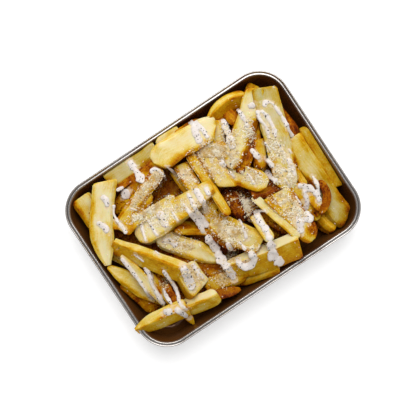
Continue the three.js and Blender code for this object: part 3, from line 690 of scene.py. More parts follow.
# each strand: its width, then the points that it runs through
strands = [
    (6, (-75, 64), (-74, 58), (-76, 53)), (6, (-91, 47), (-89, 41), (-88, 34)),
    (4, (-71, 52), (-75, 45), (-76, 38), (-75, 31), (-75, 24)), (8, (-62, 53), (-58, 54), (-53, 55)),
    (7, (-38, 77), (-38, 70), (-38, 62), (-38, 53)), (4, (-28, 56), (-23, 57), (-20, 50), (-21, 44)),
    (4, (-53, 24), (-53, 7)), (7, (-41, 25), (-42, 9)), (4, (-19, 19), (-18, 4), (-18, -13)),
    (5, (-11, 24), (-12, 12), (-13, 0), (-13, -11)), (6, (-3, 24), (-4, 13), (-6, 2)), (5, (5, 20), (4, 12)),
    (4, (-60, 24), (-65, 9)), (4, (-91, 9), (-90, -6), (-89.5, -21), (-90, -38)),
    (4.5, (-79, -9), (-79, -16), (-82, -26), (-83, -36), (-84, -47)),
    (4, (-66, -20), (-66, -30), (-67, -42), (-70, -54), (-68, -61)), (4, (-75, -34), (-77, -42), (-77, -50)),
    (7, (-49, -26), (-51, -38), (-55, -49)), (6, (-43, -30), (-42, -47)), (6, (-87, -52), (-79, -54)),
    (6, (-76, -54), (-73, -60), (-72, -68)),
    (7.2, (-17.5, -16), (-17.5, -30), (-18.5, -43), (-18, -53), (-19, -63)),
    (6, (-6, -47), (-7, -55), (-1, -59), (6, -56), (6, -48)), (5, (-6, -31), (-6, -40)),
    (8, (24, -50), (24, -58), (21, -64), (24, -75)), (6, (31, -22), (28, -29), (28, -40), (26, -50)),
    (4, (14, -20), (13, -27), (10, -38)), (6.5, (29, 33), (29, 25)), (3.4, (30, 20), (31, 12)),
    (4, (42, 10), (43, 4), (42, -2)), (5, (58, 3), (58, -4), (60, -11)),
    (4.5, (86, 50), (90, 52), (94, 48), (95, 38), (94, 26), (93, 14)),
    (4, (80, 51), (77, 43), (78, 34), (75, 24)), (4.5, (82, 49), (84, 40), (83, 31), (80, 22)),
    (5, (67, 62), (66, 52), (65, 42)), (7, (75, 57), (81, 56)), (6, (51, 62), (49, 54), (47, 45), (44, 34)),
    (6, (26, 77), (26, 70), (24, 62), (23, 54)), (5, (27, 73), (31, 64), (31, 54)), (5, (57, 26), (59, 14)),
    (5, (64, 11), (64, 1)), (5, (79, 1), (77, -8), (76, -16)),
    (6, (73, -24), (79, -29), (83, -37), (82, -47)), (4, (89, -24), (88, -34), (84, -42)),
    (4.5, (77, -28), (73, -39), (67, -47)), (6, (60, -44), (56, -52), (52, -60)), (7, (66, -46), (65, -57)),
    (2.4, (-63, -2), (-61, -7)), (6, (-54, 2), (-48, -2), (-45, -10)), (2.4, (-79, 5), (-76, -5)),
    (4, (-62, 61), (-55, 60)), (3, (-60, 41), (-56, 36)), (3, (-13, 53), (-10, 44)),
    (3.4, (-31, 20), (-31, 8)), (3.5, (30, -22), (38, -27)), (3.5, (3, -36), (4, -46)),
    (3, (66, -30), (66, -40)), (3, (63, 10), (63, 3)), (3, (67, -12), (67, -20)), (3, (79, 18), (79, 5)),
    (3, (84, 8), (84, 3)), (3, (70, 24), (70, 15)), (2.6, (52, -54), (52, -58)),
]


def smoothPath(points, step):
    # a curve through the points, resampled evenly
    points = np.array(points, float)
    ends = np.vstack([2 * points[0] - points[1], points, 2 * points[-1] - points[-2]])
    fine = []
    for k in range(len(points) - 1):
        p0, p1, p2, p3 = ends[k:k + 4]
        for t in np.linspace(0, 1, 24, endpoint=False):
            fine.append(0.5 * (2 * p1 + (p2 - p0) * t + (2 * p0 - 5 * p1 + 4 * p2 - p3) * t ** 2
                               + (3 * p1 - p0 - 3 * p2 + p3) * t ** 3))
    fine = np.array(fine + [points[-1]])
    run = np.concatenate([[0], np.cumsum(np.linalg.norm(np.diff(fine, axis=0), axis=1))])
    at = np.linspace(0, run[-1], max(3, round(run[-1] / step)) + 1)
    return np.stack([np.interp(at, run, fine[:, k]) for k in range(2)], axis=1), run[-1]


def besideStrands(points):
    # 1 under a strand of sauce, fading a little way out
    share = np.zeros(len(points))
    for width, *through in strands:
        half = width / 2
        for spot in smoothPath(through, 1.2)[0]:
            away = points[:, :2] - spot
            near = np.flatnonzero(np.abs(away).max(axis=1) < 8)
            far = np.hypot(*away[near].T)
            share[near] = np.maximum(share[near], smoothStep(half + 3.4, half * 0.6, far))
    return share


def farFrom(patch, points):
    # how far out each point lies, 1 at the patch's edge
    (atX, atY), (reachX, reachY), turn = patch[:3]
    along, across = turned(points[:, 0] - atX, points[:, 1] - atY, -math.radians(turn))
    return np.hypot(along / reachX, across / reachY)


def spotIn(patch, far, spin):
    # the place so far out from the patch's middle, in the direction spin
    (atX, atY), (reachX, reachY), turn = patch[:3]
    x, y = turned(reachX * far * np.cos(spin), reachY * far * np.sin(spin), math.radians(turn))
    return atX + x, atY + y


def coverShare(points, patches):
    # how much of the surface the patches cover, 0 to 1
    return np.max([
        min(1, patch[3]) * smoothStep(1.3, 0.3, farFrom(patch, points)) for patch in patches], axis=0)


def patchShade(points):
    # the shade of the cheese patches round each point
    weights = np.array([np.exp(-farFrom(patch, points) ** 2) for patch in cheesePatches]) + 1e-6
    return np.array([patch[4] for patch in cheesePatches]) @ weights / weights.sum(axis=0)


# knife and the first value of dip are shares of the wedge's width, the other lengths are in millimetres;
# bevelled is the largest roll and the least width at which the upper edges get wide bevels
wedgeShape = {
    "station": 2.1, "nearEnds": (0, 0.25, 0.7, 1.5), "bodyFrom": 2.6, "bevelled": (0.4, 9.5),
    "edgeRadius": 0.5, "spans": (3, 1, 5, 1, 3, 3), "knife": (0.034, 0.07), "dip": (0.016, 0.08),
    "slant": 16, "lumps": (0.36, 0.12), "sunk": 0.15, "endRings": (0.7, 0.35),
}
# what each cause adds to how fried a place is, save the one for depth, which adds painted shade deep in the
# heap; brownest is where the browned places stop adding
friedRule = {
    "bevel": 0.16, "bevelFry": 0.7, "patches": 0.2, "streak": 0.07, "edge": (0.06, 0.3), "tips": 0.16,
    "places": 0.85, "brownest": (0.68, 0.72), "deep": 0.1, "underCheese": 0.12, "besideSauce": 0.8,
}


def roundedRing(corners):
    # corners is stations by corners by 2: each corner becomes three points, each side gets its own between
    sides = np.roll(corners, -1, axis=1) - corners
    lengths = np.linalg.norm(sides, axis=2, keepdims=True) + 1e-6
    sides = sides / lengths
    reach = np.minimum(wedgeShape["edgeRadius"], 0.38 * np.minimum(lengths, np.roll(lengths, 1, axis=1)))
    before, after = corners - np.roll(sides, 1, axis=1) * reach, corners + sides * reach
    points, edge, side, across = [], [], [], []
    for k, span in enumerate(wedgeShape["spans"]):
        points += [before[:, k], (before[:, k] + 2 * corners[:, k] + after[:, k]) / 4, after[:, k]]
        edge += [1] * 3
        across += [0] * 3
        for step in range(1, span + 1):
            share = step / (span + 1)
            points.append(after[:, k] + (before[:, (k + 1) % corners.shape[1]] - after[:, k]) * share)
            edge.append(max(0, 1 - 3.2 * min(share, 1 - share)))
            across.append(4 * share * (1 - share))
        side += [k] * (span + 3)
    return np.stack(points, axis=1), np.array(edge), np.array(side), np.array(across)


def handCut(ts, piece, number):
    # how far each of the six long edges wanders, in straight runs, as a knife leaves them
    rng = np.random.default_rng(101 * number + 7)
    knots = max(3, round(piece["length"] / 12) + 1)
    usual, most = wedgeShape["knife"]
    wander = np.clip(rng.normal(0, usual, (knots, 6, 2)), -most, most) * piece["width"]
    at = np.linspace(0, 1, knots)
    shifts = [[np.interp(ts, at, wander[:, k, axis]) for axis in range(2)] for k in range(6)]
    return np.transpose(shifts, (2, 0, 1))


def wedgeRings(piece, number):
    # rings round the wedge before its roll, from one end to the other
    length, width = piece["length"], piece["width"]
    near = np.array(wedgeShape["nearEnds"]) / length
    inner = wedgeShape["bodyFrom"] / length
    body = np.linspace(inner, 1 - inner, max(8, round(length / wedgeShape["station"])))
    ts = np.concatenate([near, body, 1 - near[::-1]])
    mostRoll, leastWidth = wedgeShape["bevelled"]
    bevels = (0.2, 0.2)
    if abs(piece["roll"]) < mostRoll and width > leastWidth:
        bevels = np.random.default_rng(number + 3).uniform((0.16, 0.16), (0.8, 0.55))
    corners = np.array([flatSection(piece, t, tuple(bevels)) for t in ts]) + handCut(ts, piece, number)
    # the ends draw in, round ones over a long way
    for run, (_, least) in zip((ts, 1 - ts), piece["ends"]):
        isRound = least == endKind("round", 1, 1)[1]
        reach = min(0.28 * width, 0.3 * length) if isRound else 1.0
        smallest = (0.56, 0.82) if isRound else (0.92, 0.9)
        for axis, far in enumerate((reach, max(1.0, 0.35 * reach))):
            drawn = np.sqrt(1 - (1 - np.minimum(1, run * length / far)) ** 2)
            corners[:, :, axis] *= (smallest[axis] + (1 - smallest[axis]) * drawn)[:, None]
    return ts, *roundedRing(corners)


def keepInside(points):
    # what would poke through the tray is drawn back to its inner face
    shape, z = trayShape, points[:, 2]
    inset, way = fromEdge(points)
    low = filletMiddle - np.clip(z, shape["sheet"], filletMiddle)
    bend = filletInset - np.sqrt(shape["fillet"] ** 2 - np.minimum(low, shape["fillet"]) ** 2)
    allowed = np.where(z > filletTopZ, wallInset(shape["depth"] - z), bend) + 0.2
    short = np.where((z < shape["depth"]) & (inset > shape["rimBand"]), np.maximum(allowed - inset, 0), 0)
    points[:, :2] -= way * short[:, None]
    points[:, 2] = np.maximum(z, shape["sheet"] + 0.1)
    return points


def closedEnds(points, rings, count):
    # two inner rings and a middle point at each end
    faces, extra = [], []
    for first, order in ((0, -1), ((rings - 1) * count, 1)):
        rim = points[first:first + count]
        centre = rim.mean(axis=0)
        for share in wedgeShape["endRings"]:
            at = len(points) + len(extra)
            extra += list(centre + (rim - centre) * share)
            for k in range(count):
                after = (k + 1) % count
                faces.append((first + k, first + after, at + after, at + k)[::order])
            first = at
        faces += [(first + k, first + (k + 1) % count, first + count)[::order] for k in range(count)]
        extra.append(centre)
    return np.concatenate([points, extra]), faces


def friedTone(piece, number, points, t, side, edge, leftness):
    # how fried each point is; the points on the end faces have no side
    noise = layeredNoise(points + number * 13.1, 12, 21, 3)
    streak = layeredNoise(points + number * 7.7, 14, 22)
    upper, flank = piece["top"], piece["side"]
    bevel = upper + friedRule["bevel"] * (1 - upper)
    left, right = (bevel + friedRule["bevelFry"] * fry for fry in piece["fry"])
    # the flanks' tone is partly frying and partly painted warm shade on the sides
    faceTones = np.array([flank, left, upper, right, flank, flank, (upper + flank) / 2])
    tone = faceTones[side] + friedRule["patches"] * noise
    sideways = [fry * smoothStep(0.2, 1, way * leftness) for fry, way in zip(piece["fry"], (1, -1))]
    tone += (side == 2) * sum(sideways) * (0.8 + 0.8 * noise)
    slender = min(1, piece["width"] / 15)
    always, streaked = friedRule["edge"]
    tone += slender * edge * (always + streaked * streak) * (1 - 0.5 * upper)
    tip = smoothStep(5, 0, np.minimum(t, 1 - t) * piece["length"])
    tone += slender * friedRule["tips"] * tip * (0.4 + 1.3 * layeredNoise(points, 7, 23))
    tone += friedRule["streak"] * streak
    browning = np.zeros(len(points))
    for at, radius, strength in brownedPlaces:
        far = np.hypot(*(points[:, :2] - at).T)
        browning += strength * smoothStep(radius * 1.25, radius * 0.3, far) * (0.7 + 0.5 * noise)
    already, most = friedRule["brownest"]
    return np.where(tone < already, np.minimum(tone + browning * friedRule["places"], most), tone)


def wedgeMesh(piece):
    length, width = piece["length"], piece["width"]
    number = sum(ord(letter) * (k + 3) for k, letter in enumerate(piece["name"])) % 997
    ts, rings, edge, side, across = wedgeRings(piece, number)
    # faces dip a little between their edges, as fried potato does
    outward = rings - rings.mean(axis=1, keepdims=True)
    outward /= np.linalg.norm(outward, axis=2, keepdims=True) + 1e-6
    dip = wedgeShape["dip"][0] * width + wedgeShape["dip"][1]
    rings = rings - outward * (across * dip)[None, :, None]
    u, v = turned(rings[:, :, 0], rings[:, :, 1], piece["roll"])
    outU, outV = turned(outward[:, :, 0], outward[:, :, 1], piece["roll"])
    most = wedgeShape["slant"]
    slants = piece["slants"] or np.random.default_rng(number).uniform(-most, most, 2)
    fade = min(9, 0.3 * length)
    shift = u * sum(math.tan(math.radians(slant)) * smoothStep(fade, 0, run[:, None] * length)
                    for slant, run in zip(slants, (ts, 1 - ts)))
    x, y, leftX, leftY = np.array([spineAt(piece, t) for t in ts]).T[:, :, None]
    x, y = x + leftX * u + leftY * shift, y + leftY * u - leftX * shift
    z = levelAt(piece, ts)[:, None] + v + piece["slope"] * shift
    points = np.stack([x, y, z], axis=-1).reshape(-1, 3)
    normal = np.stack([leftX * outU, leftY * outU, outV], axis=-1).reshape(-1, 3)
    coarse, fine = wedgeShape["lumps"]
    lumps = layeredNoise(points + number * 31.7, 10, 11) * coarse + layeredNoise(points, 2.4, 12) * fine
    points = keepInside(points + normal * (lumps - wedgeShape["sunk"])[:, None])
    points, endFaces = closedEnds(points, len(ts), len(edge))
    extra = len(points) - len(normal)

    def padded(values, fill=0):
        return np.append(values, np.full(extra, fill))

    t = np.append(np.repeat(ts, len(edge)), np.repeat((0, 1), extra // 2))
    tone = friedTone(
        piece, number, points, t, padded(np.tile(side, len(ts)), -1), padded(np.tile(edge, len(ts))),
        padded(rings[:, :, 0] / (width / 2)))
    depth = lookUp(softHeights, points[:, 0], points[:, 1]) - points[:, 2]
    # painted shade: points deep under the heap's rounded outline turn browner
    tone += friedRule["deep"] * smoothStep(5, 18, depth)
    points[:, 0] = np.maximum(points[:, 0], cadLow[0] / mm)
    shown = smoothStep(8, 3, depth) * smoothStep(0.72, 0.52, tone) * (1 - coverShare(points, barePatches))
    shown = shown * smoothStep(-0.1, 0.5, padded(normal[:, 2]))
    cheesy = coverShare(points, cheesePatches) * shown
    beside = friedRule["besideSauce"] * besideStrands(points)
    saucy = np.maximum(coverShare(points, saucePatches), beside) * shown
    around = np.cumsum(np.linalg.norm(np.diff(rings, axis=1, append=rings[:, :1]), axis=2), axis=1)
    # painted shade: each wedge darkens from its first end to its last by the amounts given
    firstShade, lastShade = piece["paintedShadeEnds"]
    return points, ringFaces(len(ts), len(edge)) + endFaces, {
        "tone": tone + friedRule["underCheese"] * cheesy, "along": t * length + 10 * number,
        "around": padded(around) + number, "dim": firstShade + (lastShade - firstShade) * t,
        "cheesy": cheesy, "saucy": saucy, "cheeseShade": patchShade(points),
        "lively": np.full(len(points), (number * 0.618) % 1),
    }


def brokenUp(tree, name, patch, grain, reach):
    # an attribute's mask, with noise biting into it
    crumbs = mottled(tree, patch, grain, 0.5)
    share = scaled(tree, readAttribute(tree, name), 0.5 * reach, -0.72)
    return times(tree, mathNode(tree, "ADD", share, crumbs), 5.0, clamp=True)


def potatoMaterial():
    material, tree, shader = newMaterial("friedPotato")
    looks = potatoLooks
    # how fried the surface looks, with painted shade deep in the heap, unsettled by patches, streaks along
    # the cut and freckles
    tone = readAttribute(tree, "tone")
    patches = mathNode(tree, "SUBTRACT", mottled(tree, 7.0, 1.1, 0.45), 0.5)
    browner = scaled(tree, tone, 2.4, 0.6)
    patches = times(tree, times(tree, patches, browner), looks["mottling"])
    along, around = readAttribute(tree, "along"), readAttribute(tree, "around")
    streaks = mathNode(tree, "SUBTRACT", useGroup(tree, grain, Along=along, Around=around, Size=1.3), 0.5)
    shift = scaled(tree, streaks, looks["streaks"], patches)
    freckles = mathNode(tree, "SUBTRACT", mottled(tree, 1.7, 0.7, 0.3), 0.62)
    shift = mathNode(tree, "ADD", shift, times(tree, freckles, looks["freckles"], clamp=True))
    ramp = addNode(tree, "ValToRGB", {"Fac": mathNode(tree, "ADD", tone, shift)})
    stops = ramp.color_ramp.elements
    while len(stops) < len(looks["ramp"]):
        stops.new(0.5)
    for stop, (at, colour) in zip(stops, looks["ramp"]):
        stop.position = at
        stop.color = fromScreen(*colour)
    # a few wedges are a cooler, paler yellow than the rest
    wide = mottled(tree, 15.0, 4.0, 0.25)
    lively = mathNode(tree, "ADD", readAttribute(tree, "lively"), wide)
    cool = times(tree, lively, looks["cooling"])
    colour = mixColours(tree, cool, ramp.outputs["Color"], looks["cool"], "MULTIPLY")
    # painted shade: the colour darkens towards black by each wedge's painted shade
    colour = mixColours(tree, readAttribute(tree, "dim"), colour, (0, 0, 0, 1))
    # a thin film of sauce, then fine cheese broken up into crumbs
    film = times(tree, brokenUp(tree, "saucy", 6.0, 2.0, 1.0), looks["filmShare"])
    colour = mixColours(tree, film, colour, looks["film"])
    clumps = mottled(tree, 3.2, 1.1, 0.45)
    clumps = scaled(tree, clumps, 3.4, -1.9)
    shaded = mathNode(tree, "ADD", readAttribute(tree, "cheeseShade"), clumps, clamp=True)
    fine = mixColours(tree, shaded, looks["dust"], looks["dustShade"])
    dust = times(tree, brokenUp(tree, "cheesy", 3.2, 0.9, 0.8), looks["dustShare"])
    oil = mottled(tree, 5.0, 1.6, 0.4)
    setSockets(tree, shader, {
        "Base Color": mixColours(tree, dust, colour, fine), "Subsurface Weight": 0.3,
        "Subsurface Scale": 0.004, "Subsurface Radius": (1.0, 0.5, 0.12), "Coat Roughness": 0.25,
        "Specular IOR Level": 0.04,
        "Roughness": scaled(tree, oil, 0.5, looks["roughness"]),
        "Coat Weight": times(tree, mathNode(tree, "GREATER_THAN", oil, 0.54), looks["oil"]),
        "Normal": bumpy(tree, 2.4, 0.6, 0.22, 0.07),
    })
    return material


def joinPieces(meshes):
    points, faces, attributes, base = [], [], {}, 0
    for meshPoints, meshFaces, meshAttributes in meshes:
        points.append(meshPoints)
        faces += [[at + base for at in face] for face in meshFaces]
        for key, values in meshAttributes.items():
            attributes.setdefault(key, []).append(values)
        base += len(meshPoints)
    return np.concatenate(points), faces, {key: np.concatenate(values) for key, values in attributes.items()}


def makeCore():
    # the plain core under the wedges, its brown tone partly painted shade for the gaps between them
    rings = [trayOutline(inset, z) for inset, z in heapRule["core"]]
    points, faces = np.concatenate(rings), tubeFaces(len(rings), len(rings[0]))
    tone = 0.7 + 0.08 * layeredNoise(points, 6, 31)
    placeFood("heapCore", points, faces, potato, {"tone": tone}, smooth=False)
    return points, faces, {}


potato = potatoMaterial()
everyPiece = [piece for _, piece in offcuts] + wedges
firstOnTop = next(k for k, piece in enumerate(everyPiece) if piece["name"] == "rightSlab")
solids = []
for name, group in (("wedgesBelow", everyPiece[:firstOnTop]), ("wedgesOnTop", everyPiece[firstOnTop:])):
    points, faces, attributes = joinPieces([wedgeMesh(piece) for piece in group])
    placeFood(name, points, faces, potato, attributes)
    solids.append((points, faces, {}))
    print(name, len(points), "points,", sum(len(face) - 2 for face in faces), "triangles")
points, faces, _ = joinPieces([*solids, makeCore()])
heapTree = BVHTree.FromPolygons(points.tolist(), faces)


def groundAt(tree, x, y, otherwise=1.0):
    # the surface seen from straight above, and its normal
    hit, normal, _, _ = tree.ray_cast(Vector((x, y, 120)), Vector((0, 0, -1)))
    return (hit.z, normal) if hit else (otherwise, Vector((0, 0, 1)))


# sauce

sauceLooks = {
    "colour": fromScreen(240, 233, 229), "shade": fromScreen(220, 208, 196),
    "soaked": fromScreen(216, 198, 184), "film": fromScreen(230, 210, 168),
    "speck": fromScreen(88, 84, 92), "specks": (2.1, 0.13, 0.75),
}


def strandMesh(strand, number):
    width, *through = strand
    path, length = smoothPath(through, sauceShape["step"])
    run = np.linspace(0, length, len(path))
    along = np.gradient(path, axis=0)
    along /= np.linalg.norm(along, axis=1, keepdims=True)
    left = np.stack([-along[:, 1], along[:, 0]], axis=1)
    flat = np.column_stack([path, np.full(len(path), number * 9.7)])
    path = path + left * (layeredNoise(flat, 9, 41, 3) * min(1.1, width * 0.18))[:, None]
    spread = 1 + 0.3 * latticeNoise(flat, 6, 42) + 0.36 * latticeNoise(flat, 2.2, 43)
    half = (sauceShape["spread"][0] + sauceShape["spread"][1] * width) * width / 2 * spread
    fromEnd = np.minimum(run, length - run) + 0.25
    half = half * np.sqrt(np.clip(1 - (1 - np.minimum(1, fromEnd / (half + 0.01))) ** 2, 0, 1))
    rise = sauceShape["rise"] * np.minimum(half * 1.9, width * 0.62) * (1 + 0.4 * latticeNoise(flat, 2.6, 44))
    ground = np.array([
        max(groundAt(heapTree, *(spot + aside * share))[0] for share in (-0.5, 0, 0.5))
        for spot, aside in zip(path, left * half[:, None])])
    # the strand hangs between what holds it up
    level = ground.copy()
    fall = sauceShape["sag"] * sauceShape["step"] ** 2 / 2
    for _ in range(sauceShape["hanging"]):
        level[1:-1] = np.maximum(ground[1:-1], (level[:-2] + level[2:]) / 2 - fall)
    soft = np.convolve(np.pad(level, 2, mode="edge"), np.ones(5) / 5, mode="valid")
    level = np.maximum(level - 0.4, soft)
    points, sides = [], sauceShape["sides"]
    for k, spot in enumerate(path):
        for side in range(sides):
            turn = 2 * math.pi * side / sides
            fringe = 1 + 0.2 * latticeNoise([(*(spot * 1.4), turn * 2)], 1.6, 45)[0]
            at = spot + left[k] * half[k] * math.cos(turn) * fringe
            z = level[k] + rise[k] * (0.25 + math.sin(turn))
            if math.sin(turn) < 0.2:
                z = min(z, max(groundAt(heapTree, *at)[0] - 0.5, z - 2.2))
            points.append((*at, z))
    return np.array(points), tubeFaces(len(path), sides), {}


def sauceMaterial():
    material, tree, shader = newMaterial("whiteSauce")
    patches = mottled(tree, 3.2, 0.8, 0.35)
    share = scaled(tree, patches, 2.2, -0.65, clamp=True)
    colour = mixColours(tree, share, sauceLooks["colour"], sauceLooks["shade"])
    soaked = mottled(tree, 13.0, 2.0, 0.3)
    soaked = scaled(tree, soaked, 3.4, -1.6, clamp=True)
    colour = mixColours(tree, times(tree, soaked, 0.55), colour, sauceLooks["soaked"])
    thin = times(tree, readAttribute(tree, "thin"), 0.6)
    colour = mixColours(tree, thin, colour, sauceLooks["film"])
    apart, size, strength = sauceLooks["specks"]
    specks = addNode(tree, "TexVoronoi", {"Scale": 1 / (apart * mm), "Vector": objectPlace(tree)})
    dot = times(tree, mathNode(tree, "LESS_THAN", specks.outputs["Distance"], size), strength)
    setSockets(tree, shader, {
        "Base Color": mixColours(tree, dot, colour, sauceLooks["speck"]), "Subsurface Weight": 0.2,
        "Subsurface Scale": 0.0015, "Subsurface Radius": (1.0, 0.8, 0.7), "Coat Weight": 0.12,
        "Coat Roughness": 0.15, "Roughness": 0.42,
        "Normal": bumpy(tree, 2.2, 0.7, 0.3, 0.06),
    })
    return material


def makeSauce():
    points, faces, _ = joinPieces([strandMesh(strand, number) for number, strand in enumerate(strands)])
    draft = makeMesh("sauceDraft", points, faces, None)
    remesh = draft.modifiers.new("remesh", "REMESH")
    remesh.mode = "VOXEL"
    remesh.voxel_size = sauceShape["voxel"] * mm
    soften = draft.modifiers.new("soften", "SMOOTH")
    soften.factor = 0.5
    soften.iterations = 4
    made = bpy.data.meshes.new_from_object(draft.evaluated_get(bpy.context.evaluated_depsgraph_get()))
    bpy.data.objects.remove(draft)
    made.materials.clear()
    made.materials.append(sauceMaterial())
    made.shade_smooth()
    place(addObject("sauceStrands", made), "wedge_heap")
    where = np.empty(len(made.vertices) * 3, np.float32)
    made.vertices.foreach_get("co", where)
    where = where.reshape(-1, 3) / mm
    made.calc_loop_triangles()
    corners = np.empty(len(made.loop_triangles) * 3, np.int32)
    made.loop_triangles.foreach_get("vertices", corners)
    cover = where[:, 2] - np.array([groundAt(heapTree, x, y)[0] for x, y, _ in where])
    thin = made.attributes.new("thin", "FLOAT", "POINT")
    thin.data.foreach_set("value", smoothStep(0.9, 0.1, cover).astype(np.float32))
    print("sauce", len(made.loop_triangles), "triangles")
    return BVHTree.FromPolygons(where.tolist(), corners.reshape(-1, 3).tolist())


sauceTree = makeSauce()


# grated cheese

# sizes and stretches are least and most; crowd is crumbs to a square millimetre of a patch, before thinning
cheeseLooks = {"light": fromScreen(255, 245, 218), "warmShaded": fromScreen(216, 176, 98)}
cheeseShape = {
    "grain": (0.28, 0.95), "grainLong": (1.0, 1.7), "shred": (0.24, 0.46), "shredLong": (2.4, 5.5),
    "shreds": 0.4, "tilt": 0.7, "crowd": 11, "spread": 1.75, "pile": (0.1, 1.3), "loose": 1100,
    "looseFrom": (-108, -76), "looseTo": (106, 78), "lowest": 12, "steepest": 0.45, "offSauce": 0.4,
}


def crumbShapes(rng, middles, sizes, longest, circle, tilt):
    # one squashed eight-sided grain for each place, all at once
    count = len(middles)
    if isinstance(sizes, tuple):
        sizes = rng.uniform(*sizes, count)
    stretches = rng.uniform(*longest, count)
    turns, tilts = rng.uniform(0, circle, count), rng.uniform(-tilt, tilt, count)
    corners = np.array([(1, 0, 0), (0, 1, 0), (-1, 0, 0), (0, -1, 0), (0, 0, 1), (0, 0, -1)], float)
    sides = np.array([(0, 1, 4), (1, 2, 4), (2, 3, 4), (3, 0, 4), (1, 0, 5), (2, 1, 5), (3, 2, 5), (0, 3, 5)])
    shape = corners[None] * np.stack([sizes * stretches, sizes, sizes * 0.75], axis=1)[:, None]
    shape = shape * np.random.default_rng(5).uniform(0.72, 1.2, shape.shape)
    z, x = turned(shape[:, :, 2], shape[:, :, 0], tilts[:, None])
    x, y = turned(x, shape[:, :, 1], turns[:, None])
    points = np.stack([x, y, z], axis=-1) + middles[:, None]
    return points.reshape(-1, 3), (sides[None] + np.arange(count)[:, None, None] * 6).reshape(-1, 3)


def scatterCheese():
    rng = np.random.default_rng(77)
    placed = []
    for patch in cheesePatches:
        _, (reachX, reachY), _, density, shade = patch
        count = int(math.pi * reachX * reachY * density * cheeseShape["crowd"])
        far = cheeseShape["spread"] * np.sqrt(rng.uniform(0, 1, count))
        x, y = spotIn(patch, far, rng.uniform(0, 2 * math.pi, count))
        # crumbs gather in clumps, ever fewer of them away from the middle
        flat = np.column_stack([x, y, x * 0])
        clump = layeredNoise(flat, 3.2, 51) + 0.5 * layeredNoise(flat, 10, 52)
        likely = np.exp(-1.3 * far ** 2) * smoothStep(-0.6, 0.5, clump) * 1.3
        keep = rng.uniform(0, 1, count) < likely * (1 - coverShare(flat, barePatches))
        heaped = smoothStep(-0.1, 0.7, clump) * rng.uniform(0, 1, count)
        # painted shade: the patch's shade and a noise darken the crumbs, and crumbs low in a heap are darker
        # than those on top; the rest is random tone
        warmth = shade + 0.9 * layeredNoise(flat, 3.4, 54)
        warmth = warmth + 0.7 * rng.uniform(-0.5, 0.5, count) - 0.3 * heaped
        least, more = cheeseShape["pile"]
        placed += list(zip(x[keep], y[keep], least + more * heaped[keep], warmth[keep]))
    loose = rng.uniform(cheeseShape["looseFrom"], cheeseShape["looseTo"], (cheeseShape["loose"], 2))
    crowding = layeredNoise(np.column_stack([loose, loose[:, 0] * 0]), 16, 53, 3)
    placed += [(x, y, 0.15, 0.35) for x, y in loose[crowding > rng.uniform(-0.2, 0.9, len(loose))]]
    grounded = []
    for x, y, pile, warmth in placed:
        z, normal = groundAt(heapTree, x, y, -1)
        overSauce, _ = groundAt(sauceTree, x, y, -1)
        if z < cheeseShape["lowest"] or normal.z < cheeseShape["steepest"]:
            continue
        if overSauce > z and rng.uniform() > cheeseShape["offSauce"]:
            continue
        grounded.append((x, y, max(z, overSauce) + pile, warmth))
    return np.array(grounded), rng


def cheeseMaterial():
    material, tree, shader = newMaterial("gratedCheese")
    # the crumbs mix from light to a warm colour that is partly painted shade
    warmth = readAttribute(tree, "warmth")
    setSockets(tree, shader, {
        "Base Color": mixColours(tree, warmth, cheeseLooks["light"], cheeseLooks["warmShaded"]),
        "Subsurface Weight": 0.25, "Subsurface Scale": 0.0015, "Subsurface Radius": (1.0, 0.75, 0.45),
        "Roughness": 0.55,
        "Normal": bumpy(tree, 0.8, 0.3, 0.08, 0.03),
    })
    return material


def makeCheese():
    middles, rng = scatterCheese()
    material = cheeseMaterial()
    isShred = rng.uniform(0, 1, len(middles)) < cheeseShape["shreds"]
    for name, kind, chosen in (("cheeseGrains", "grain", ~isShred), ("cheeseShreds", "shred", isShred)):
        crumbs = middles[chosen]
        least, most = cheeseShape[kind]
        sizes = least + (most - least) * rng.uniform(0, 1, len(crumbs)) ** 2
        points, faces = crumbShapes(
            rng, crumbs[:, :3], sizes, cheeseShape[kind + "Long"], 2 * math.pi, cheeseShape["tilt"])
        warmth = np.repeat(np.clip(crumbs[:, 3], 0, 1), 6)
        placeFood(name, points, faces, material, {"warmth": warmth}, smooth=False)
        print(name, len(crumbs), "crumbs,", len(faces), "triangles")


makeCheese()


# pepper and crisp crumbs

speckShape = {
    "onSauce": 22, "onPatches": 20, "pepper": (0.3, 0.7), "pepperLong": (1, 1.6), "pepperTilt": 0.4,
    "crisps": 700, "crisp": (0.3, 0.8), "crispLong": (1, 2.2), "crispTilt": 0.6, "circle": 6.3,
    "crispFrom": (-106, -77), "crispTo": (104, 76), "hollow": 5,
}
pepperLooks = {"dark": fromScreen(30, 26, 28), "light": fromScreen(84, 72, 66)}


def pepperPlaces(rng):
    spots = []
    for width, *through in strands:
        path, length = smoothPath(through, 1.0)
        for _ in range(int(length * width / speckShape["onSauce"]) + 1):
            spot = path[rng.integers(len(path))] + rng.uniform(-0.45, 0.45, 2) * width
            z, _ = groundAt(sauceTree, *spot, -1)
            if z > 0:
                spots.append((*spot, z + 0.05))
    for patch in cheesePatches + saucePatches:
        for _ in range(round(math.prod(patch[1]) * patch[3] / speckShape["onPatches"])):
            spin, far = rng.uniform(0, speckShape["circle"]), rng.uniform(0, 1.1)
            spot = spotIn(patch, far, spin)
            z = max(groundAt(tree, *spot, -1)[0] for tree in (sauceTree, heapTree))
            if z > 18:
                spots.append((*spot, z + 0.35))
    return np.array(spots)


def crispPlaces(rng):
    spots = []
    while len(spots) < speckShape["crisps"]:
        x, y = rng.uniform(speckShape["crispFrom"], speckShape["crispTo"])
        z, _ = groundAt(heapTree, x, y, -1)
        if z > 8 and lookUp(softHeights, x, y) - z > speckShape["hollow"]:
            spots.append((x, y, z + 0.2))
    return np.array(spots)


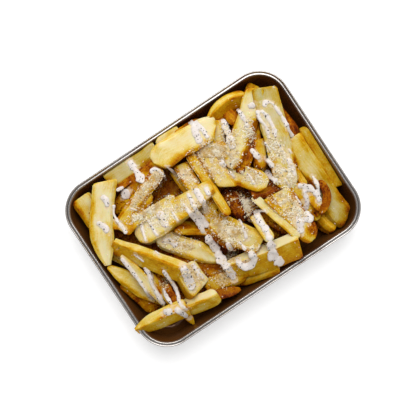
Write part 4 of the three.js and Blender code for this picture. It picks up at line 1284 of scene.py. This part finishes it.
def makeSpecks():
    rng = np.random.default_rng(9)
    material, tree, shader = newMaterial("crackedPepper")
    tint = mottled(tree, 2.0, 0.4, 0.5)
    tint = mixColours(tree, tint, pepperLooks["dark"], pepperLooks["light"])
    setSockets(tree, shader, {"Base Color": tint, "Roughness": 0.6})
    for name, kind, findPlaces in (("pepper", "pepper", pepperPlaces), ("crispCrumbs", "crisp", crispPlaces)):
        middles = findPlaces(rng)
        size, longest, tilt = (speckShape[kind + what] for what in ("", "Long", "Tilt"))
        points, faces = crumbShapes(rng, middles, size, longest, speckShape["circle"], tilt)
        if kind == "pepper":
            placeFood(name, points, faces, material, smooth=False)
        else:
            tone = np.repeat(rng.uniform(0.5, 0.95, len(middles)), 6)
            placeFood(name, points, faces, potato, {"tone": tone}, smooth=False)
        print(name, len(middles))


makeSpecks()


# floor, light and camera

stageLooks = {
    "floor": (0.86, 0.86, 0.86, 1), "floorHalf": 9000, "floorZ": -0.3, "glow": 0.42, "fill": 0.47,
    "horizon": 0.35, "zenithAt": 0.95, "zenith": (0.72, 0.72, 0.72, 1),
    "key": 24.5, "keySize": 1.5, "keyAt": (0.5, 0.75, 1.35), "keyTo": (0, 0, 0.02),
    "lens": 85, "sensor": 36, "cameraAt": (0.00099, 0.01045, 0.90837),
    "cameraTurn": (-0.658, -0.144, -33.624),
}


def makeStage():
    material, tree, shader = newMaterial("paleFloor")
    setSockets(tree, shader, {
        "Base Color": stageLooks["floor"], "Roughness": 0.9, "Specular IOR Level": 0.0,
        "Emission Color": (1, 1, 1, 1), "Emission Strength": stageLooks["glow"],
    })
    half, z = stageLooks["floorHalf"], stageLooks["floorZ"]
    corners = [(-half, -half, z), (half, -half, z), (half, half, z), (-half, half, z)]
    floor = makeMesh("floor", corners, [(0, 1, 2, 3)], material)


def makeLights():
    light = bpy.data.lights.new("softKey", "AREA")
    light.shape = "SQUARE"
    light.size = stageLooks["keySize"]
    light.energy = stageLooks["key"]
    key = addObject("softKey", light)
    key.location = stageLooks["keyAt"]
    key.rotation_euler = (Vector(stageLooks["keyTo"]) - key.location).to_track_quat("-Z", "Y").to_euler()
    world = bpy.data.worlds.new("studio")
    sceneNow.world = world
    world.use_nodes = True
    tree = world.node_tree
    up = addNode(tree, "SeparateXYZ", {0: addNode(tree, "TexCoord").outputs["Generated"]}).outputs["Z"]
    ramp = addNode(tree, "ValToRGB", {"Fac": up})
    low, high = ramp.color_ramp.elements
    low.position, high.position = stageLooks["horizon"], stageLooks["zenithAt"]
    low.color, high.color = (1, 1, 1, 1), stageLooks["zenith"]
    sky = {"Color": ramp.outputs["Color"], "Strength": stageLooks["fill"]}
    setSockets(tree, tree.nodes["Background"], sky)
    sceneNow.view_settings.view_transform = "Standard"


def makeCamera():
    camera = bpy.data.cameras.new("camera")
    camera.lens = stageLooks["lens"]
    camera.sensor_width = stageLooks["sensor"]
    holder = addObject("camera", camera)
    holder.location = stageLooks["cameraAt"]
    holder.rotation_euler = [math.radians(angle) for angle in stageLooks["cameraTurn"]]
    sceneNow.camera = holder


makeStage()
makeLights()
makeCamera()
